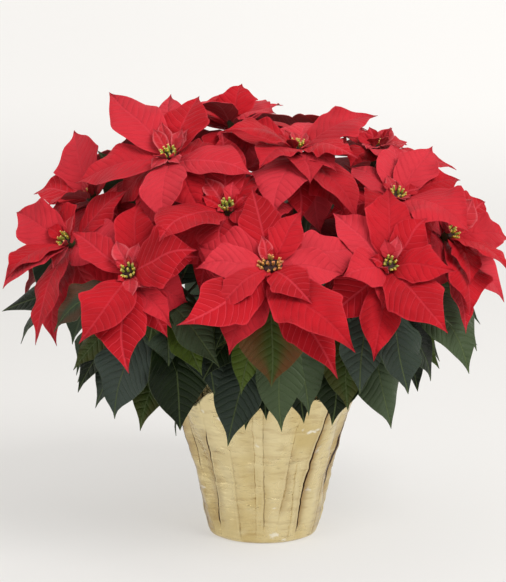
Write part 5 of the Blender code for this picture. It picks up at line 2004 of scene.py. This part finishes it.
@dataclass(frozen=True)
class Plant:
    """A plant's trunk, branches, leaf stalks and leaves."""

    name: str
    places: list[Placement]
    finishes: list[Material]
    sizes: StemSizes = STEM

    def build(self) -> None:
        """Builds the leaves as one piece and the stems as another, in place of the node."""
        node = "plant_" + self.name
        chance = Draw.LEAVES.chance(len(self.name))
        sheet = Sheet()
        for place in self.places:
            sheet.add_blade(place, chance, BLADE.leaf_teeth)
        hand_over(sheet.finish(node + "_leaves", self.finishes[:2], BLADE.leaf_wall), node)
        hand_over(self.stems().finish(node + "_stems", self.finishes[2:]), node)

    def stems(self) -> Sheet:
        """Draws the trunk, the branches and the round stalks under the leaves.

        Returns:
            Their mesh.
        """
        s = self.sizes
        sheet = Sheet()
        trunk = self.smooth(Growth.trunk_points(self.name), s.trunk_rings)
        sheet.add_tube(trunk, [s.trunk_radius] * len(trunk), s.trunk_sides)
        for bloom in BLOOMS:
            if bloom.plant == self.name:
                branch = self.smooth(Growth.branch_points(bloom), s.branch_rings)
                slope = (s.tip_radius - s.branch_radius) / s.branch_rings
                radii = [s.branch_radius + slope * i for i in range(len(branch))]
                sheet.add_tube(branch, radii, s.branch_sides, s.branch_blush)
                self.add_stem_end(sheet, bloom)
        for place in self.places:
            stalk = [place.section(i * s.stalk_share / s.stalk_rings)[0] for i in range(s.stalk_rings + 1)]
            radii = [s.stalk_radius - s.stalk_taper * i for i in range(len(stalk))]
            sheet.add_tube(stalk, radii, s.stalk_sides, 1.0)
        return sheet

    def add_stem_end(self, sheet: Sheet, bloom: Bloom) -> None:
        """Adds the swollen stem end under a bloom.

        Args:
            sheet: the mesh.
            bloom: the bloom.
        """
        s = self.sizes
        shares = [i / s.end_rings for i in range(s.end_rings + 1)]
        points = [bloom.along_normal(s.end_height * (share - 1.0)) for share in shares]
        radii = [s.end_foot + (s.end_top - s.end_foot) * smooth_step(0.0, 1.0, share) for share in shares]
        sheet.add_tube(points, radii, s.end_sides, s.end_blush)

    @staticmethod
    def smooth(points: list[Vector], count: int) -> list[Vector]:
        """Runs a smooth curve through a few points.

        Args:
            points: the points.
            count: how many spans the run has.

        Returns:
            The run of points on the curve.
        """
        spans = len(points) - 1
        run = []
        for i in range(count + 1):
            where = spans * i / count
            k = min(int(where), spans - 1)
            t = where - k
            before = points[max(k - 1, 0)]
            after = points[min(k + 2, spans)]
            a, b = points[k], points[k + 1]
            square = (2 * before - 5 * a + 4 * b - after) * t * t
            run.append(0.5 * (2 * a + (b - before) * t + square + (3 * a - before - 3 * b + after) * t**3))
        return run


@dataclass(frozen=True)
class Fold:
    """A sharp fold that runs up the foil.

    It has its angle, slant, depth, the side that laps over, the darkness of its painted crease shade, the
    shares of the height between which it is clear, how wide it is, and the width in mm and strength of the
    painted amber shade beside it.
    """

    angle: float
    slant: float
    depth: float
    side: int
    dark: float
    clear_from: float = 0.0
    clear_to: float = 1.0
    wide: float = 1.0
    haze: Pair = (5.0, 0.8)


# the first and last folds are wide with a broad haze: painted shade on the foil's left and right sides
FRONT_FOLDS = (
    Fold(-163.0, 0.0, 2.6, 1, 1.0, 0.0, 1.0, 2.6, (16.0, 0.75)),
    Fold(-150.0, -6.0, 1.2, 1, 0.45, 0.50, 1.0, 1.0, (10.0, 0.9)),
    Fold(-134.0, 9.0, 2.2, 1, 1.0, 0.12, 0.82, 1.0, (9.0, 0.5)),
    Fold(-114.0, -2.0, 0.8, -1, 0.20, 0.0, 0.75),
    Fold(-97.0, 1.0, 0.7, 1, 0.16, 0.05, 0.95),
    Fold(-90.0, -1.0, 0.8, -1, 0.24, 0.10, 1.0),
    Fold(-71.0, 15.0, 1.5, -1, 0.55, 0.22, 0.70, 0.4),
    Fold(-62.0, 3.0, 0.7, 1, 0.14, 0.0, 0.6),
    Fold(-52.0, 9.0, 2.1, -1, 1.0, 0.08, 0.98),
    Fold(-29.0, 6.0, 2.2, -1, 0.85, 0.0, 1.0, 0.8, (7.0, 0.7)),
    Fold(-14.0, 3.0, 2.4, -1, 0.95, 0.0, 1.0, 2.8, (15.0, 0.7)),
)
RIM_PEAKS = (
    (-121.0, 19.0, 12.0),
    (-95.0, 7.0, 12.0),
    (-58.0, 10.0, 14.0),
    (-8.0, 9.0, 9.0),
    (62.0, 9.0, 10.0),
    (134.0, 11.0, 9.0),
)
"""The rim's peaks: angle, height in mm and half width in degrees."""


@dataclass(frozen=True)
class FoilWrap:
    """The gold foil wrap: a pleated, crinkled sheet with sharp folds."""

    finish: Material
    back_folds: int = 10
    sizes: FoilSizes = FOIL

    def folds(self) -> list[Fold]:
        """Sets out the folds.

        Returns:
            All folds in turn round the pot.
        """
        chance = Draw.FOIL.chance()
        first, last = FRONT_FOLDS[-1].angle, FRONT_FOLDS[0].angle + 360.0
        step = (last - first) / (self.back_folds + 1)
        back = []
        for i in range(self.back_folds):
            angle = first + step * (i + 1 + chance.uniform(-0.2, 0.2))
            side = chance.choice((-1, 1))
            slant, depth = chance.uniform(-6, 6), chance.uniform(0.8, 2.4)
            back.append(Fold(angle, slant, depth, side, chance.uniform(0.15, 0.7)))
        return list(FRONT_FOLDS) + back

    def mean_radius(self, height: float) -> float:
        """Reads the foil's profile.

        Args:
            height: the height in mm.

        Returns:
            The mean radius there.
        """
        profile = self.sizes.profile
        for (low, start), (high, end) in zip(profile, profile[1:]):
            if height <= high:
                return start + (end - start) * (height - low) / (high - low)
        return profile[-1][1]

    def plain_reach(self, angle: float, height: float) -> Pair:
        """Gives the model's own foil.

        Args:
            angle: the angle round the pot.
            height: the height in mm.

        Returns:
            Its radius and its lift there.
        """
        s = self.sizes
        rise = min(height / s.calm_height, 1.0)
        flare = max(0.0, (height - s.flare_start) / s.flare_height)
        depth = s.pleat_depth * (s.depth_at_base + (1.0 - s.depth_at_base) * rise)
        pleat = depth * sin(s.pleats * angle + s.pleat_twist * height)
        crinkle = s.crinkle_depth * rise * sin(s.crinkles * angle + s.crinkle_twist * height)
        ruffle = s.ruffle_depth * flare * sin(s.ruffles * angle)
        lift = -s.rim_wave_height * flare * sin(s.rim_waves * angle)
        return self.mean_radius(height) + pleat + crinkle + ruffle, lift

    def fold_angle(self, fold: Fold, height: float) -> float:
        """Follows a fold up the foil.

        Args:
            fold: the fold.
            height: the height in mm.

        Returns:
            Its angle there, in radians.
        """
        wander = 0.0
        for far, span, start in zip(self.sizes.wander, FOLD.wander_heights, (0.5, 7.5)):
            wander += far * noise.noise(Vector((fold.angle, height / span, start)))
        return radians(fold.angle + fold.slant * (height / self.sizes.profile[-1][0] - 0.5) + wander)

    def fold_shape(self, fold: Fold, arc: float, height: float) -> tuple[float, float, float, float]:
        """How a fold moves the foil, and the painted shade and highlight that it lays beside it.

        Args:
            fold: the fold.
            arc: the distance from it round the pot, in mm.
            height: the height in mm.

        Returns:
            The shift outwards in mm, how dark the crease's painted shade is, its ridge's painted highlight,
            and its wide amber halo of painted shade.
        """
        share = height / self.sizes.profile[-1][0]
        shown = smooth_step(fold.clear_from - FOLD.fade_in, fold.clear_from + FOLD.fade_in, share)
        shown *= 1.0 - smooth_step(fold.clear_to - FOLD.fade_out[0], fold.clear_to + FOLD.fade_out[1], share)
        mean, swing = FOLD.vary
        varied = mean + swing * noise.noise(Vector((fold.angle * 3.0, height / FOLD.vary_height, 2.5)))
        step = arc * fold.side
        lap = exp(-step / FOLD.lap[0]) if step > 0.0 else exp(step / FOLD.lap[1])
        groove = FOLD.groove * bell(step - FOLD.groove_at, FOLD.groove_spread)
        shift = fold.depth * (FOLD.faint + (1.0 - FOLD.faint) * shown) * (FOLD.raised * lap - groove)
        width = max(FOLD.crease_least, 0.75 + 0.50 * varied + 0.8 * (fold.wide - 1.0))
        # painted highlight: a bright ridge beside the crease
        ridge = bell(step - FOLD.ridge_at, 1.0) * shown * (0.45 + 0.55 * fold.dark)
        # painted shade: the dark line in the crease
        crease = bell(step - FOLD.crease_at, width) * fold.dark * shown
        crease *= min(1.0, max(0.15, varied * fold.wide))
        # the amber haze beside the fold is painted shade
        spread, strength = fold.haze
        return shift, crease, ridge, bell(step - FOLD.haze_at, spread) * fold.dark * shown * strength

    def rim_lift(self, angle: float) -> float:
        """Makes the rim ragged.

        Args:
            angle: the angle round the pot.

        Returns:
            How much higher the rim stands there, in mm.
        """
        ragged = self.sizes.ragged * noise.noise(Vector((cos(angle) * 7.0, sin(angle) * 7.0, 3.0)))
        for middle, high, wide in RIM_PEAKS:
            off = (angle - radians(middle) + pi) % (2.0 * pi) - pi
            ragged += high * max(0.0, 1.0 - abs(off) / radians(wide))
        return ragged

    def point(self, pair: tuple[Fold, Fold], share: float, row: int) -> tuple[Vector, Triple]:
        """Places one point of the foil.

        Args:
            pair: the folds on its two sides.
            share: how far it stands from the first towards the second.
            row: its row, counted from the middle of the base.

        Returns:
            The point in mm, and its painted crease shade, painted highlight on ridges and crests, and painted
            amber haze.
        """
        s = self.sizes
        height = s.profile[-1][0] * (max(0, row - s.base_rows) / (s.rows - s.base_rows)) ** s.row_spacing
        share -= s.crowding * sin(2.0 * pi * share) / (2.0 * pi)
        start, end = (self.fold_angle(fold, height) for fold in pair)
        end += 2.0 * pi if end < start else 0.0
        angle = start + (end - start) * share
        radius = self.mean_radius(height)
        if row <= s.base_rows:
            reach = radius * row / s.base_rows
            return Vector((reach * cos(angle), reach * sin(angle), 0.0)), (0.0, 0.0, 0.0)
        reach, lift = self.plain_reach(angle, height)
        near = self.fold_shape(pair[0], (angle - start) * radius, height)
        after = self.fold_shape(pair[1], (angle - end) * radius, height)
        crease, ridge, halo = (max(both) for both in zip(near[1:], after[1:]))
        calm = smooth_step(0.0, s.flat_foot, height)
        at = Vector((cos(angle) * 3.2, sin(angle) * 3.2, height / 15.0))
        close = Vector((at.x * 2.2, at.y * 2.2, height / 4.0))
        wrinkle = s.wrinkle[0] * noise.noise(at * 1.3) + s.wrinkle[1] * noise.noise(close)
        reach += (near[0] + after[0] + wrinkle) * calm - s.thickness
        lift += self.rim_lift(angle) * smooth_step(s.rim_from, s.profile[-1][0], height)
        # painted marks: crease shade, highlight on ridges and wrinkle crests, and amber haze of shade
        marks = (crease * calm, max(0.0, wrinkle, ridge), halo * calm)
        return Vector((reach * cos(angle), reach * sin(angle), height + lift)), marks

    def build(self) -> None:
        """Builds the fine foil in place of its node."""
        s, folds = self.sizes, self.folds()
        sheet = Sheet()
        bm = sheet.bm
        columns = s.columns_per_fold * len(folds)
        for vert, around, up in sheet.grid(columns, s.rows):
            which, rest = divmod(round(around * columns) % columns, s.columns_per_fold)
            pair = folds[which], folds[(which + 1) % len(folds)]
            point, vert[sheet.crease] = self.point(pair, rest / s.columns_per_fold, round(up * s.rows))
            vert.co = point * MM
        bmesh.ops.remove_doubles(bm, verts=bm.verts, dist=WELD)
        bmesh.ops.recalc_face_normals(bm, faces=bm.faces)
        if sum(face.normal.z * face.calc_area() for face in bm.faces) > 0:
            bmesh.ops.reverse_faces(bm, faces=bm.faces)
        sheet.smooth_faces(bm.verts)
        hand_over(sheet.finish("foil_wrap_fine", [self.finish], s.thickness), "foil_wrap")


@dataclass(frozen=True)
class SoilBed:
    """Crumbs and bits of bark on the potting soil."""

    finish: Material
    count: int = 420
    margin: float = 6.0
    trunk_gap: float = 9.0
    crumb: Pair = (0.8, 2.6)
    segments: int = 5

    def build(self) -> None:
        """Scatters crumbs over the soil as one piece."""
        chance = Draw.CRUMBS.chance()
        sheet = Sheet()
        reach = POT.top_radius - POT.wall - self.margin
        for _ in range(self.count):
            radius, angle = reach * chance.random() ** 0.5, chance.uniform(0, 2 * pi)
            x, y = radius * cos(angle), radius * sin(angle)
            if any((x - px) ** 2 + (y - py) ** 2 < self.trunk_gap**2 for px, py in PLANTS.values()):
                continue
            place = shifted(x, y, POT.soil_top + POT.soil_heap * (1.0 - radius / reach))
            turn = Matrix.Rotation(chance.uniform(0, pi), 4, Vector((chance.random(), chance.random(), 1.0)))
            size = tuple(chance.uniform(*self.crumb) for _ in range(3))
            sheet.add_ball(place @ turn, size, self.segments)
        hand_over(sheet.finish("soil_crumbs", [self.finish]))


@dataclass(frozen=True)
class Lamp:
    """A square soft light that looks at the plant: its place and size in metres, and its power."""

    name: str
    place: Triple
    size: float
    power: float
    target: Triple = (0.0, 0.0, 0.28)

    def build(self) -> None:
        """Hangs the light."""
        data = bpy.data.lights.new(self.name, "AREA")
        data.size = self.size
        data.energy = self.power
        lamp = bpy.data.objects.new(self.name, data)
        bpy.context.scene.collection.objects.link(lamp)
        lamp.location = self.place
        way = Vector(self.target) - Vector(self.place)
        lamp.rotation_euler = way.to_track_quat("-Z", "Y").to_euler()


@dataclass(frozen=True)
class Studio:
    """The pale sweep, the soft lights and the camera at the photograph's angle, sizes in metres."""

    finish: Material
    lamps: tuple[Lamp, ...] = (
        Lamp("key", (1.9, -2.5, 3.1), 2.0, 124.0),
        Lamp("fill", (-2.4, -1.8, 1.2), 2.0, 13.0),
    )
    air: Colour = (1.0, 0.99, 0.975)
    air_strength: float = 0.52
    camera_place: Triple = (-0.011, -1.75, 0.49)
    camera_pitch: float = 7.2
    lens: float = 99.3
    sensor: float = 36.0
    floor_size: float = 16.0
    floor_rows: int = 128
    wall_at: float = 2.2
    wall_radius: float = 1.4

    def build(self) -> None:
        """Builds the sweep, the lights, the world and the camera."""
        self.build_sweep()
        for lamp in self.lamps:
            lamp.build()
        world = bpy.data.worlds.new("studio")
        world.use_nodes = True
        world.node_tree.nodes["Background"].inputs["Color"].default_value = (*self.air, 1.0)
        world.node_tree.nodes["Background"].inputs["Strength"].default_value = self.air_strength
        bpy.context.scene.world = world
        bpy.context.scene.view_settings.view_transform = "Standard"
        self.add_camera()

    def build_sweep(self) -> None:
        """Builds the floor that curves up into a wall behind the pot."""
        bm = bmesh.new()
        bmesh.ops.create_grid(bm, x_segments=2, y_segments=self.floor_rows, size=self.floor_size)
        for vert in bm.verts:
            past = vert.co.y - self.wall_at
            if past <= 0.0:
                continue
            angle = min(past / self.wall_radius, pi / 2.0)
            rest = past - angle * self.wall_radius
            vert.co.y = self.wall_at + self.wall_radius * sin(angle)
            vert.co.z = self.wall_radius * (1.0 - cos(angle)) + rest
        for face in bm.faces:
            face.smooth = True
        mesh = bpy.data.meshes.new("studio_sweep")
        bm.to_mesh(mesh)
        bm.free()
        mesh.materials.append(self.finish)
        sweep = bpy.data.objects.new("studio_sweep", mesh)
        bpy.context.scene.collection.objects.link(sweep)

    def add_camera(self) -> None:
        """Adds the camera at the photograph's viewing angle."""
        data = bpy.data.cameras.new("camera")
        data.lens = self.lens
        data.sensor_fit = "VERTICAL"
        data.sensor_height = self.sensor
        camera = bpy.data.objects.new("camera", data)
        bpy.context.scene.collection.objects.link(camera)
        camera.location = self.camera_place
        camera.rotation_euler = (radians(90.0 - self.camera_pitch), 0.0, 0.0)
        bpy.context.scene.camera = camera


def dress_node(name: str, material: Material) -> None:
    """Gives a model's own node a material, in its object's material slots.

    Args:
        name: the node's name.
        material: the material.
    """
    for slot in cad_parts[name].material_slots:
        slot.link = "OBJECT"
        slot.material = material


def main() -> None:
    """Builds every sub-assembly in order."""
    logging.basicConfig(level=logging.INFO, format="%(name)s: %(message)s")
    growth = Growth()
    bracts = [finish.material() for finish in (BractFinish(), BractBackFinish())]
    foliage = [finish.material() for finish in (LeafFinish(), LeafBackFinish(), StemFinish())]
    bed = CUP_BED.material()
    green, ripe = ([finish.material() for finish in cups] + [bed] for cups in (GREEN_CUPS, RIPE_CUPS))
    for bloom in BLOOMS:
        BloomBracts(bloom, growth.bracts[bloom.name], bracts).build()
        BloomMiddle(bloom, ripe if bloom.stretch > 1.0 else green).build()
    for plant in PLANTS:
        Plant(plant, growth.leaves[plant], foliage).build()
    FoilWrap(FoilFinish().material()).build()
    dress_node("grower_pot", POT_PLASTIC.material())
    soil = SOIL_DARK.material()
    dress_node("soil", soil)
    SoilBed(soil).build()
    Studio(StudioFinish().material()).build()


if __name__ == "__main__":
    main()
